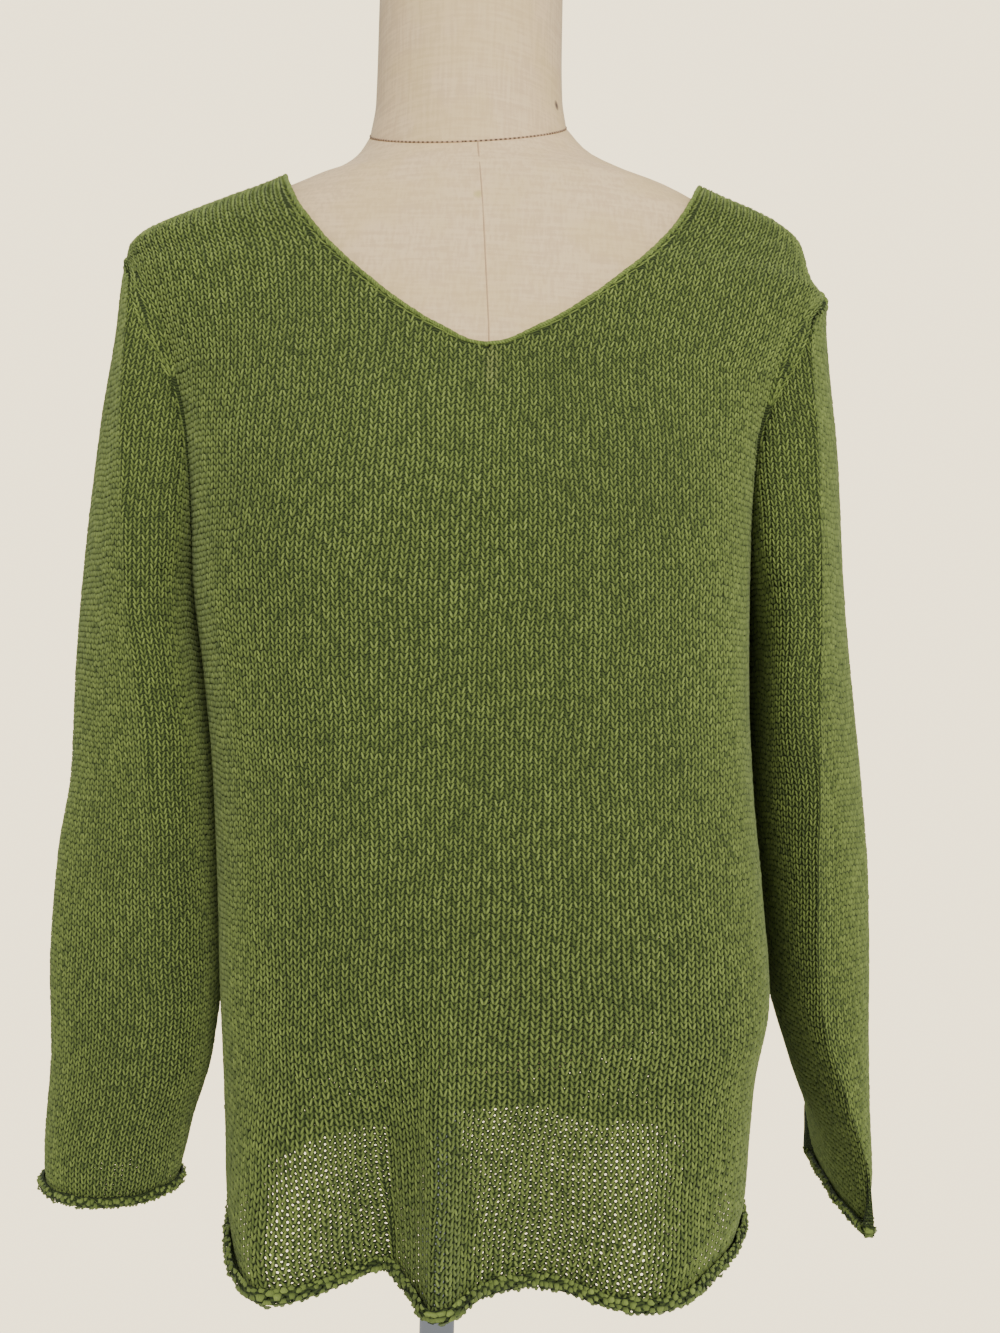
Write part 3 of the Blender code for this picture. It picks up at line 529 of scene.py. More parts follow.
@dataclass(frozen=True)
class YarnFinish:
    """Matt cotton yarn in moss green, twisted from plies, with painted highlight and shade."""

    name: str = "moss_yarn"
    # painted highlight on the crests of legs, plies and purl bars
    light: Colour = (0.312, 0.402, 0.086, 1.0)
    mid: Colour = (0.116, 0.166, 0.028, 1.0)
    # painted shade at the sides and ends of legs and over the ground
    painted_shade: Colour = (0.006, 0.014, 0.001, 1.0)
    bare: Colour = (0.420, 0.430, 0.150, 1.0)  # stretched thin
    bare_at: tuple[float, float, float] = (0.0204, -0.1010, 1.2320)
    slack_z: float = 0.850  # below this height the cloth hangs free and its loops open
    rest_share: float = 0.35  # of the holes' area where it rests on the form
    sheen: float = 0.25
    sheen_rough: float = 0.45
    sheen_tint: Colour = (0.80, 0.95, 0.50, 1.0)

    def fuzzy(self, bench: NodeBench, colour: Socket, normal: Socket) -> bpy.types.Material:
        """Matt yarn with a soft sheen of loose fibres."""
        return bench.wear(Base_Color=colour, Roughness=0.85, Sheen_Weight=self.sheen,
                          Sheen_Roughness=self.sheen_rough, Sheen_Tint=self.sheen_tint,
                          Normal=normal)

    def legs(self) -> bpy.types.Material:
        """The finish of the stitches' legs: a painted highlight on the crest, painted shade at the
        sides and ends.

        The pattern map runs across a leg from 0 to 1 and along it from 0 to 1.

        Returns:
            The material.
        """
        bench = NodeBench(self.name + "_legs")
        round_leg, along_leg = bench.pattern()
        tone = bench.put("Attribute", {"attribute_name": "tone"}).outputs["Fac"]
        across = bench.math("ABSOLUTE", bench.math("SUBTRACT", round_leg, 0.5))
        # Painted shading of each grain: lit along its crest, in shade towards its sides.
        crest = bench.ramp(bench.math("MULTIPLY", across, 2.0),
                           ((0.0, 1.0), (0.5, 0.78), (1.0, 0.0)))
        # Painted shade at the ends, where a leg tucks under its neighbours.
        ends = bench.ramp(along_leg, ((0.0, 0.15), (0.18, 0.80), (0.5, 1.0), (0.80, 0.85),
                                      (1.0, 0.20)))
        crest = bench.math("MULTIPLY", crest, ends)
        where = bench.where()
        patch = bench.noise(where, 9.0, 3.0)
        fibre = bench.noise(where, 2600.0, 2.0)
        # Painted shade at the sides and ends, then the painted highlight on the crest, its strength
        # varying at random by leg.
        body = bench.mix(crest, self.painted_shade, self.mid)
        colour = bench.mix(bench.math("MULTIPLY", crest, tone), body, self.light)
        off = bench.put("VectorMath", {"operation": "SUBTRACT"})
        bench.join(off.inputs[0], where)
        bench.join(off.inputs[1], self.bare_at)
        off = bench.stretched(off.outputs[0], (190.0, 20.0, 62.0))
        far = bench.put("VectorMath", {"operation": "LENGTH"}, Vector=off).outputs["Value"]
        thin = bench.ramp(far, ((0.0, 0.30), (0.6, 0.18), (1.0, 0.0)))
        colour = bench.mix(thin, colour, self.bare)
        shade = bench.math("ADD", 0.72, bench.math("MULTIPLY", patch, 0.50))
        colour = bench.mix(1.0, colour, bench.put("CombineColor", Red=shade, Green=shade,
                                                  Blue=shade).outputs[0], "MULTIPLY")
        twist = bench.math("ADD", bench.math("MULTIPLY", round_leg, 5.0),
                           bench.math("MULTIPLY", along_leg, 22.0))
        plies = bench.math("ABSOLUTE", bench.math("SINE", twist))
        height = bench.math("ADD", bench.math("MULTIPLY", plies, 0.7),
                            bench.math("MULTIPLY", fibre, 0.6))
        return self.fuzzy(bench, colour, bench.bump(height, 0.00022, 0.8))

    def ground(self, name: str, openness: float) -> bpy.types.Material:
        """The finish of the ground behind the legs, painted in shade, with the holes that the loops
        leave.

        The pattern map counts wales and courses. Two oval holes a stitch let light through: one
        between two wales low in the course and one inside the v of the legs near its top. They
        are smaller where the cloth rests on the form and its loops aren't pulled open.

        Args:
            name: Ends the material's name.
            openness: How large the holes are, 1 for the body's loose cloth.

        Returns:
            The material.
        """
        bench = NodeBench(self.name + "_" + name)
        wale, course = bench.pattern()

        def hole(at_wale: float, at_course: float, wide: float, high: float) -> Socket:
            """Distance from the nearest hole's middle, 1 on its rim."""
            u = bench.math("WRAP", bench.math("SUBTRACT", wale, at_wale), 0.5, -0.5)
            v = bench.math("WRAP", bench.math("SUBTRACT", course, at_course), 0.5, -0.5)
            u = bench.math("POWER", bench.math("ABSOLUTE", bench.math("DIVIDE", u, wide)), 2.0)
            v = bench.math("POWER", bench.math("ABSOLUTE", bench.math("DIVIDE", v, high)), 2.0)
            return bench.math("ADD", u, v)

        where = bench.where()
        uneven = bench.noise(where, 260.0, 1.0)
        between = hole(0.0, 0.24, 0.094 * openness, 0.160 * openness)
        inside = hole(0.5, 0.74, 0.076 * openness, 0.120 * openness)
        nearest = bench.math("MINIMUM", between, inside)
        rim = bench.math("SUBTRACT", bench.math("MULTIPLY", uneven, 3.4), 0.80)
        above = bench.math("SUBTRACT", bench.put("SeparateXYZ", Vector=where).outputs[2],
                           self.slack_z)
        firm = bench.ramp(bench.math("MULTIPLY", above, 12.0),
                          ((0.0, 1.0), (1.0, self.rest_share)))
        rim = bench.math("MULTIPLY", rim, firm)
        solid = bench.math("GREATER_THAN", nearest, rim)
        arch = bench.math("SINE", bench.math("MULTIPLY", wale, 2 * math.pi))
        bars = bench.math("ADD", bench.math("MULTIPLY", course, 2.0 * math.pi),
                          bench.math("MULTIPLY", arch, 0.9))
        purl = bench.math("ABSOLUTE", bench.math("SINE", bars))
        fibre = bench.noise(where, 2200.0, 2.0)
        # The ground is painted shade between the legs; the crests of its purl bars get a little
        # painted highlight.
        colour = bench.mix(bench.math("MULTIPLY", purl, 0.36), self.painted_shade, self.mid)
        height = bench.math("ADD", purl, bench.math("MULTIPLY", fibre, 0.35))
        return bench.wear(Base_Color=colour, Roughness=0.9, Alpha=solid,
                          Normal=bench.bump(height, 0.0006, 0.9))

    def cord(self, name: str, shade_share: float) -> bpy.types.Material:
        """The finish of edges and seams: the same yarn in small twisted loops, with a painted
        highlight on each ply.

        Args:
            name: Ends the material's name.
            shade_share: Painted shade over the plies' highlight, 0 for a lit edge, 1 for a sunk
                seam.

        Returns:
            The material. Its pattern map runs round the cord from 0 to 1 and along it in
            millimetres.
        """
        bench = NodeBench(self.name + "_" + name)
        turn, along = bench.pattern()
        where = bench.where()
        patch = bench.noise(where, 380.0, 2.0)
        fibre = bench.noise(where, 2400.0, 2.0)
        twist = bench.math("ADD", bench.math("MULTIPLY", turn, 2 * math.pi),
                           bench.math("MULTIPLY", along, 1.9))
        plies = bench.math("ABSOLUTE", bench.math("SINE", twist))
        # Painted highlight on the crest of each ply.
        colour = bench.mix(plies, self.mid, self.light)
        colour = bench.mix(bench.ramp(patch, ((0.0, 0.0), (0.40, 0.1), (0.65, 0.9), (1.0, 1.0))),
                           colour, self.mid)
        # Painted shade: the shade share takes the painted highlight back out.
        colour = bench.mix(shade_share, colour, self.mid)
        height = bench.math("ADD", bench.math("MULTIPLY", plies, 0.8),
                            bench.math("MULTIPLY", fibre, 0.5))
        return self.fuzzy(bench, colour, bench.bump(height, 0.0004, 0.9))


@dataclass(frozen=True)
class Spot:
    """A small stain on the cover."""

    at: tuple[float, float, float]
    radius: float
    colour: Colour
    strength: float


@dataclass(frozen=True)
class LinenFinish:
    """Undyed plain-woven cover cloth."""

    name: str = "linen_cover"
    light: Colour = (1.000, 0.745, 0.420, 1.0)
    dark: Colour = (0.640, 0.445, 0.240, 1.0)
    aged: Colour = (0.840, 0.620, 0.255, 1.0)
    seam: Colour = (0.560, 0.380, 0.240, 1.0)
    thread: Colour = (0.120, 0.075, 0.050, 1.0)
    spots: tuple[Spot, ...] = (
        Spot((0.0546, -0.0224, 1.4141), 0.0022, (0.070, 0.035, 0.030, 1.0), 0.85),
        Spot((0.0095, -0.0725, 1.3379), 0.0021, (0.560, 0.470, 0.130, 1.0), 0.50),
        Spot((0.0180, -0.0795, 1.3270), 0.0005, (0.300, 0.200, 0.120, 1.0), 0.60),
        Spot((-0.0480, -0.0330, 1.4420), 0.0006, (0.300, 0.200, 0.120, 1.0), 0.50))

    def cover(self) -> bpy.types.Material:
        """Upright and level threads of uneven thickness, aged patches and a few small spots.

        Returns:
            The material.
        """
        bench = NodeBench(self.name)
        where = bench.where()
        threads = [bench.noise(bench.stretched(where, scale), 1.0, 3.0)
                   for scale in ((520.0, 520.0, 48.0), (48.0, 48.0, 520.0))]
        cloth = bench.math("MULTIPLY", bench.math("ADD", *threads), 0.5)
        aged = bench.noise(where, 24.0, 4.0)
        share = bench.ramp(cloth, ((0.0, 0.0), (0.40, 0.10), (0.60, 0.80), (1.0, 1.0)))
        colour = bench.mix(bench.math("MULTIPLY", share, 0.55), self.light, self.dark)
        colour = bench.mix(bench.ramp(aged, ((0.0, 0.0), (0.42, 0.0), (0.62, 0.35), (1.0, 0.4))),
                           colour, self.aged)
        for spot in self.spots:
            far = bench.put("VectorMath", {"operation": "DISTANCE"})
            bench.join(far.inputs[0], where)
            bench.join(far.inputs[1], spot.at)
            near = bench.math("SUBTRACT", 1.5,
                              bench.math("DIVIDE", far.outputs["Value"], spot.radius))
            near = bench.ramp(near, ((0.0, 0.0), (0.5, spot.strength * 0.7),
                                     (1.0, spot.strength)))
            colour = bench.mix(near, colour, spot.colour)
        return bench.wear(Base_Color=colour, Roughness=0.88, Sheen_Weight=0.15,
                          Normal=bench.bump(cloth, 0.0003, 0.6))

    def stitching(self) -> bpy.types.Material:
        """A seam's edge with the dark thread of its small stitches.

        Returns:
            The material. Its pattern map runs round the seam from 0 to 1 and along it in
            millimetres.
        """
        bench = NodeBench(self.name + "_stitching")
        along = bench.pattern()[1]
        worn = bench.noise(bench.where(), 70.0, 2.0)
        dash = bench.math("SINE", bench.math("MULTIPLY", along, 2.1))
        dash = bench.math("ADD", dash, bench.math("MULTIPLY", worn, 2.4))
        share = bench.ramp(bench.math("MULTIPLY", dash, 0.35),
                           ((0.0, 0.0), (0.35, 0.15), (0.6, 0.9), (1.0, 1.0)))
        return bench.wear(Base_Color=bench.mix(share, self.seam, self.thread), Roughness=0.85)

    def pressed_seam(self) -> bpy.types.Material:
        """A pressed seam, a little darker and redder than the cover."""
        bench = NodeBench(self.name + "_seam")
        colour = bench.mix(bench.noise(bench.where(), 160.0, 3.0), self.dark, self.seam)
        return bench.wear(Base_Color=colour, Roughness=0.88)


@dataclass(frozen=True)
class StandFinish:
    """The finishes of the stand: varnished wood, polished chrome and satin paint."""

    wood: Colour = (0.270, 0.150, 0.070, 1.0)
    wood_dark: Colour = (0.130, 0.065, 0.030, 1.0)
    chrome: Colour = (0.470, 0.500, 0.540, 1.0)
    paint: Colour = (0.022, 0.022, 0.024, 1.0)
    dust: Colour = (0.07, 0.07, 0.07, 1.0)

    def varnished_wood(self) -> bpy.types.Material:
        """Fine grain under a satin varnish."""
        bench = NodeBench("varnished_wood")
        along = bench.stretched(bench.where(), (14.0, 160.0, 160.0))
        grain = bench.put("TexNoise", Vector=along, Scale=1.0, Detail=6.0,
                          Roughness=0.6).outputs["Fac"]
        colour = bench.mix(bench.ramp(grain, ((0.0, 0.0), (0.35, 0.1), (0.65, 0.9), (1.0, 1.0))),
                           self.wood_dark, self.wood)
        return bench.wear(Base_Color=colour, Roughness=0.35, Coat_Weight=0.5, Coat_Roughness=0.15,
                          Normal=bench.bump(grain, 0.0002, 0.4))

    def polished_chrome(self) -> bpy.types.Material:
        """Polished metal with faint smears."""
        bench = NodeBench("polished_chrome")
        smear = bench.noise(bench.where(), 35.0, 4.0)
        rough = bench.math("ADD", 0.05, bench.math("MULTIPLY", smear, 0.10))
        return bench.wear(Base_Color=self.chrome, Metallic=1.0, Roughness=rough)

    def satin_paint(self) -> bpy.types.Material:
        """Powder coat with a fine orange-peel surface."""
        bench = NodeBench("satin_paint")
        where = bench.where()
        peel = bench.noise(where, 900.0, 2.0)
        dust = bench.noise(where, 24.0, 5.0)
        rough = bench.math("ADD", 0.34, bench.math("MULTIPLY", dust, 0.16))
        colour = bench.mix(bench.math("MULTIPLY", dust, 0.35), self.paint, self.dust)
        return bench.wear(Base_Color=colour, Roughness=rough,
                          Normal=bench.bump(peel, 0.00006, 0.5))


# ---- the sweater's surfaces ----------------------------------------------------------------------

@dataclass(frozen=True)
class BodyShape:
    """The body's outer face, worked out from rings at heights between hem and neck."""

    rings: SizeTable = SizeTable(BODY_COLUMNS, BODY_RINGS)
    v_edge: SizeTable = SizeTable(NECK_COLUMNS, V_EDGE)

    def ring(self, z: Array) -> dict[str, Array]:
        """The ring at a height, with its middle and half width."""
        size = self.rings.read(z)
        size["middle"] = (size["left"] + size["right"]) / 2
        size["half"] = (size["right"] - size["left"]) / 2
        return size

    @staticmethod
    def fold_out(folds: tuple[tuple[float, ...], ...], x: Array, z: Array) -> Array:
        """How far the folds move the point at x and z out of the ring.

        Each fold is a bell across x that leans with height and dies away at its top.
        """
        total = np.zeros(np.broadcast(x, z).shape)
        for row in folds:
            fold = dict(zip(FOLD_COLUMNS, row))
            up = (z - fold["z_low"]) / (fold["z_top"] - fold["z_low"])
            centre = fold["x"] + (fold["x_top"] - fold["x"]) * up
            width = np.where(x < centre, fold["soft_left"], fold["soft_right"])
            bell = np.exp(-((x - centre) / width) ** 2)
            fade = np.where((up >= 0.0) & (up < 1.0), (1.0 - up * up) ** 2, 0.0)
            total = total + fold["depth"] * fade * bell
        return total

    def point(self, z: Array, angle: Array) -> Array:
        """The outer face at an angle round the ring.

        A superellipse: the reach along the angle is (|sin/half|^p + |cos/depth|^p)^(-1/p), with
        its own depth and power in front and behind. The folds push the point along Y.

        Args:
            z: Heights.
            angle: Angles, 0 in front and positive to the viewer's right.

        Returns:
            The points, [...][3].
        """
        size = self.ring(z)
        sine, cosine = np.sin(angle), np.cos(angle)
        front = cosine > 0.0
        depth = np.where(front, -size["front"], size["back"])
        power = np.where(front, size["square_front"],
                         np.where(sine < 0.0, size["square_back_left"], size["square_back_right"]))
        reach = ((np.abs(sine) / size["half"]) ** power
                 + (np.abs(cosine) / depth) ** power) ** (-1.0 / power)
        x = size["middle"] + reach * sine
        fold = np.where(front, self.fold_out(FRONT_FOLDS, x, z),
                        -self.fold_out(BACK_FOLDS, x, z))
        y = -reach * cosine - fold * (1.0 - np.abs(sine) ** FOLD_END_POWER)
        return np.stack(np.broadcast_arrays(x, y, z), axis=-1)

    def angle_at_x(self, z: Array, x: Array, facing: int) -> Array:
        """The ring's angle at x, in front for facing 1 and behind for facing -1."""
        size = self.ring(z)
        side = np.where(x < size["middle"], -1.0, 1.0)
        if facing > 0:
            depth, power = -size["front"], size["square_front"]
        else:
            depth = size["back"]
            power = np.where(side < 0, size["square_back_left"], size["square_back_right"])
        share = np.minimum(np.abs(x - size["middle"]) / size["half"], 1.0)
        y = depth * (1.0 - share ** power) ** (1.0 / power)
        return np.arctan2(x - size["middle"], y * facing)

    @staticmethod
    def armhole_share(z: Array, side: int) -> Array:
        """How far up the armhole a height lies: 0 at the underarm, 1 at the shoulder's tip."""
        return (z - UNDERARM_Z) / (TIP_Z[side] - UNDERARM_Z)

    def edge_angle(self, z: Array, side: int, facing: int) -> Array:
        """The angle at which a panel ends: side seam, armhole or shoulder seam.

        The armhole lies depth x sin(acos(2 up - 1))^round in front of or behind its two ends.
        """
        size = self.ring(z)
        up = self.armhole_share(z, side)
        inside = np.clip(2.0 * up - 1.0, -1.0, 1.0)
        armhole = ARMHOLE_DEPTH * np.sin(np.arccos(inside)) ** ARMHOLE_ROUND
        armhole = np.where((up > 0.0) & (up < 1.0), armhole, 0.0)
        tip_gap = TIP_GAP * (1.0 - np.abs(z - TIP_Z[side]) / TIP_GAP_REACH)
        y = np.maximum(np.maximum(armhole, tip_gap), SEAM_GAP)
        if facing > 0:
            depth, power = -size["front"], size["square_front"]
        else:
            depth = size["back"]
            power = size["square_back_left"] if side < 0 else size["square_back_right"]
        x = size["half"] * (1.0 - (y / depth) ** power) ** (1.0 / power)
        return np.arctan2(side * x, y * facing)

    @staticmethod
    def row_heights(side: int) -> Array:
        """Heights of the cut's rows from the hem up, at one side's edge or, for 0, the middle."""
        tip = TIP_Z[side] if side else (TIP_Z[-1] + TIP_Z[1]) / 2
        turns = np.radians(np.array(ARMHOLE_TURNS, float))
        heights = np.concatenate((
            HEM_Z + (UNDERARM_Z - HEM_Z) * np.arange(ROWS_BELOW) / ROWS_BELOW,
            (tip + UNDERARM_Z) / 2 + (tip - UNDERARM_Z) / 2 * np.cos(turns),
            tip + (NECK_POINT_Z - tip) * np.array(SHOULDER_SHARES)))
        if side == 0:
            heights[np.argmin(np.abs(heights - V_BOTTOM_Z))] = V_BOTTOM_Z
        return heights

    def height(self, side: int, row: Array) -> Array:
        """The height of a row, counted from the hem and read between rows too."""
        heights = self.row_heights(side)
        return read_between(np.arange(len(heights), dtype=float), heights, row)

    def half_panel(self, side: int, facing: int, row: Array, share: Array) -> Array:
        """Points of one half of the front or back.

        A row runs from the middle, or the v's edge, to the side. It rises or sinks towards the
        side as share squared, and the back's rows also sag towards the neck edge.

        Args:
            side: -1 left or 1 right of the viewer.
            facing: 1 for the front and -1 for the back.
            row: Rows counted from the hem.
            share: 0 at the middle or the v's edge, 1 at the side.

        Returns:
            The points, [...][3].
        """
        middle_z = self.height(0, row)
        edge_z = self.height(side, row)
        rise = np.maximum(middle_z - V_BOTTOM_Z, 0.0)
        half = self.v_edge.read(rise)["half"] if facing > 0 else 0.0
        start = self.angle_at_x(middle_z, MIDDLE_X + side * half, facing)
        end = self.edge_angle(edge_z, side, facing)
        if facing < 0:
            start = side * np.mod(start * side, 2 * math.pi)
        z = middle_z + (edge_z - middle_z) * share * share
        if facing < 0:
            up = np.maximum(0.0, (middle_z - BACK_SAG_Z) / (NECK_POINT_Z - BACK_SAG_Z))
            z = z - (NECK_POINT_Z - BACK_NECK_Z) * up * up * (1.0 - share ** BACK_SAG_SQUARE)
        return self.point(z, start + (end - start) * share)


@dataclass(frozen=True)
class SleeveShape:
    """A sleeve's outer face: a ring of four quarter ovals between creases, at every height."""

    side: int
    table: SizeTable
    body: BodyShape = BodyShape()

    @staticmethod
    def arc(start: tuple[Array, Array], end: tuple[Array, Array], crease: Array, fullness: Array,
            turn: Array) -> tuple[Array, Array]:
        """A quarter oval from a crease to where it runs along Y.

        The crease's share makes the start pointed. The fullness makes the arc boxy.

        Args:
            start: x and y of the crease.
            end: x and y of the arc's other end.
            crease: 0 for a round start, 1 for a pointed one.
            fullness: 0 for an oval, 1 for a boxy arc.
            turn: Angles from 0 at the start to a quarter turn at the end.

        Returns:
            x and y of the arc.
        """
        point = crease * (1.0 - fullness)
        power = 1.0 / (1.0 + fullness)
        across = np.abs(np.sin(turn)) ** power
        along = np.abs(np.clip(np.cos(turn), 1e-9, 1.0)) ** power
        fall = (1.0 - point) * along + point * (1.0 - across)
        return (start[0] + (end[0] - start[0]) * across, end[1] + (start[1] - end[1]) * fall)

    def ring(self, z: Array, steps: int) -> Array:
        """The rings at some heights, each from the seam inside round the outside and back.

        Args:
            z: Heights, [row].
            steps: Points on each of the four arcs.

        Returns:
            The points, [row][4 x steps + 1][3].
        """
        z = z[:, None]
        size = self.table.read(z)
        side = self.side
        above = z > UNDERARM_Z
        reach = self.body.ring(z)["left" if side < 0 else "right"] + side * SEAM_GAP
        blend = np.clip((UNDERARM_Z - z) / 0.034, 0.0, 1.0)
        inner = reach + (size["inner"] - reach) * blend
        ends = []
        for facing in (1, -1):
            edge = self.body.point(z, self.body.edge_angle(np.maximum(z, UNDERARM_Z), side, facing))
            ends.append((np.where(above, edge[..., 0] + side * SEAM_GAP, inner),
                         np.where(above, edge[..., 1], 0.0)))
        front = [size["front_x"], size["front_y"]]
        back = [size["back_x"], size["back_y"]]
        outer = size["outer"]
        far = np.maximum if side > 0 else np.minimum
        front[0] = np.where(above, far(front[0], ends[0][0]), front[0])
        back[0] = np.where(above, far(back[0], ends[1][0]), back[0])
        front[1] = np.where(above, np.minimum(front[1], ends[0][1] - SEAM_BULGE), front[1])
        back[1] = np.where(above, np.maximum(back[1], ends[1][1] + SEAM_BULGE), back[1])
        outer = np.where(above, far(outer, ends[0][0] + side * SEAM_BULGE), outer)
        turn = np.linspace(0.0, math.pi / 2, steps + 1)[None, :]
        full = size["fullness"]
        none = np.zeros_like(full)
        arcs = (self.arc(front, ends[0], size["crease_front"], full, turn),
                self.arc(front, (outer, 0.0), size["crease_front"], none, turn),
                self.arc(back, (outer, 0.0), size["crease_back"], none, turn),
                self.arc(back, ends[1], size["crease_back"], full, turn))
        x = np.concatenate((arcs[0][0][:, ::-1], arcs[1][0][:, 1:], arcs[2][0][:, -2::-1],
                            arcs[3][0][:, 1:]), axis=1)
        y = np.concatenate((arcs[0][1][:, ::-1], arcs[1][1][:, 1:], arcs[2][1][:, -2::-1],
                            arcs[3][1][:, 1:]), axis=1)
        return np.stack(np.broadcast_arrays(x, y, z), axis=-1)


def even_spread(points: Array, columns: int) -> tuple[Array, Array]:
    """Spread each row's points evenly along its length.

    Args:
        points: Rows of points, [row][column][3].
        columns: How many points each row gets.

    Returns:
        The new points, and each row's length.
    """
    steps = np.linalg.norm(np.diff(points, axis=1), axis=2)
    along = np.concatenate((np.zeros((len(points), 1)), np.cumsum(steps, axis=1)), axis=1)
    length = along[:, -1]
    share = np.linspace(0.0, 1.0, columns)
    spread = np.empty((len(points), columns, 3))
    for row, (place, line) in enumerate(zip(along, points)):
        at = share * place[-1]
        for axis in range(3):
            spread[row, :, axis] = np.interp(at, place, line[:, axis])
    return spread, length


@dataclass
class KnitSurface:
    """A knitted surface that can be read at any wale and course.

    Its grid has one row every half course, [row][column][3], evenly spread between the first and
    the last wale of the row.
    """

    points: Array
    first: Array  # the wale at each row's start
    last: Array  # the wale at each row's end
    course_low: float  # the course of the first row
    way: int  # 1 or -1, turns the normals outward
    hand: int = 1  # -1 where the wales count towards the viewer's left
    halved: bool = False  # the first wale of 0 lies in the middle of a panel, not on an edge
    normals: Array = field(init=False)
    mouth: float = field(init=False)  # the course where the two halves part at the v

    def __post_init__(self) -> None:
        """Work out the outward normals from the grid's own slopes, and where the v begins."""
        below = int(np.count_nonzero(self.first == 0.0))
        self.mouth = self.course_low + (below - 1) / PER_COURSE
        along = np.gradient(self.points, axis=0)
        across = np.gradient(self.points, axis=1)
        normal = np.cross(across, along) * self.way
        size = np.linalg.norm(normal, axis=2, keepdims=True)
        self.normals = normal / np.maximum(size, 1e-12)

    def limits(self, course: Array) -> tuple[Array, Array]:
        """The first and last wale at a course."""
        row = (course - self.course_low) * PER_COURSE
        index = np.arange(len(self.first), dtype=float)
        return np.interp(row, index, self.first), np.interp(row, index, self.last)

    def drift(self, wale: Array, course: Array) -> tuple[Array, Array]:
        """How far hand-fed yarn makes a stitch stray, in wales and courses.

        Sums of long sines of wale and course, which die away at edges and seams.
        """
        first, last = self.limits(course)
        top = self.course_low + (len(self.first) - 1) / PER_COURSE
        aside, along = (
            sum(size * np.sin(by_course * course + by_wale * self.hand * wale + phase)
                for size, by_course, by_wale, phase in waves)
            for waves in (STRAY_ASIDE, STRAY_ALONG))
        from_last = np.clip((last - wale) / 4.0, 0.0, 1.0)
        from_first = np.clip((wale - first) / 4.0, 0.0, 1.0)
        inside = np.clip(course / 5.0, 0.0, 1.0) * np.clip((top - course) / 5.0, 0.0, 1.0)
        inside = inside * from_last
        whole = np.maximum(np.clip((self.mouth - course) / 6.0, 0.0, 1.0), from_first)
        open_first = np.where((first == 0.0) & self.halved, whole, from_first)
        return self.hand * aside * inside * from_first, along * inside * open_first

    def at(self, wale: Array, course: Array, height: Array | float) -> Array:
        """Points on the surface, moved out by a height.

        Bilinear between the four grid points round the place, strayed by the drift.

        Args:
            wale: Wales, counted as first and last are.
            course: Courses from the hem or cuff.
            height: How far out of the surface.

        Returns:
            The points, [...][3].
        """
        aside, along = self.drift(wale, course)
        wale, course = wale + aside, course + along
        first, last = self.limits(course)
        rows, columns = self.points.shape[:2]
        row = np.clip((course - self.course_low) * PER_COURSE, 0, rows - 1.001)
        column = np.clip((wale - first) / (last - first), 0.0, 1.0) * (columns - 1)
        column = np.clip(column, 0, columns - 1.001)
        low, left = row.astype(int), column.astype(int)
        up, over = (row - low)[..., None], (column - left)[..., None]
        found = []
        for grid in (self.points, self.normals):
            near = grid[low, left] * (1 - over) + grid[low, left + 1] * over
            far = grid[low + 1, left] * (1 - over) + grid[low + 1, left + 1] * over
            found.append(near * (1 - up) + far * up)
        return found[0] + found[1] * np.asarray(height)[..., None]


def courses_along(line: Array, course: float) -> Array:
    """Courses counted along a line of points, 0 at its start."""
    steps = np.linalg.norm(np.diff(line, axis=0), axis=1)
    return np.concatenate(([0.0], np.cumsum(steps))) / course


def curl_grid(start: Array, normals: Array, radius: float, courses: float, seed: int) -> Array:
    """Rows of the edge that curls outward and up below a row of points.

    A point of the curl lies radius x (1 - cos turn) out and radius x sin turn down from the row.
    The radius and the turn vary softly along the edge.

    Args:
        start: The row where the curl begins, [column][3].
        normals: Its outward normals.
        radius: The radius of the outer face in the curl.
        courses: How many courses the curl holds.
        seed: Draws the unevenness.

    Returns:
        The rows from the edge's end up to the one before the start, [row][column][3].
    """
    level = normals * (1.0, 1.0, 0.0)
    level /= np.linalg.norm(level, axis=1, keepdims=True)
    steps = int(round(courses * PER_COURSE))
    share = np.arange(steps, 0, -1) / steps
    along = courses_along(start, 1.0)
    uneven = 1.0 + 0.16 * soft_noise(along / 0.13, seed, 7)
    turn = CURL_TURN * share[:, None] * (1.0 + 0.07 * soft_noise(along / 0.09, seed + 1)[None, :])
    out = radius * uneven[None, :] * (1.0 - np.cos(turn))
    down = radius * uneven[None, :] * np.sin(turn)
    return (start[None] + level[None] * out[..., None]
            - np.array((0.0, 0.0, 1.0)) * down[..., None])


# ---- the sweater's pieces ------------------------------------------------------------------------

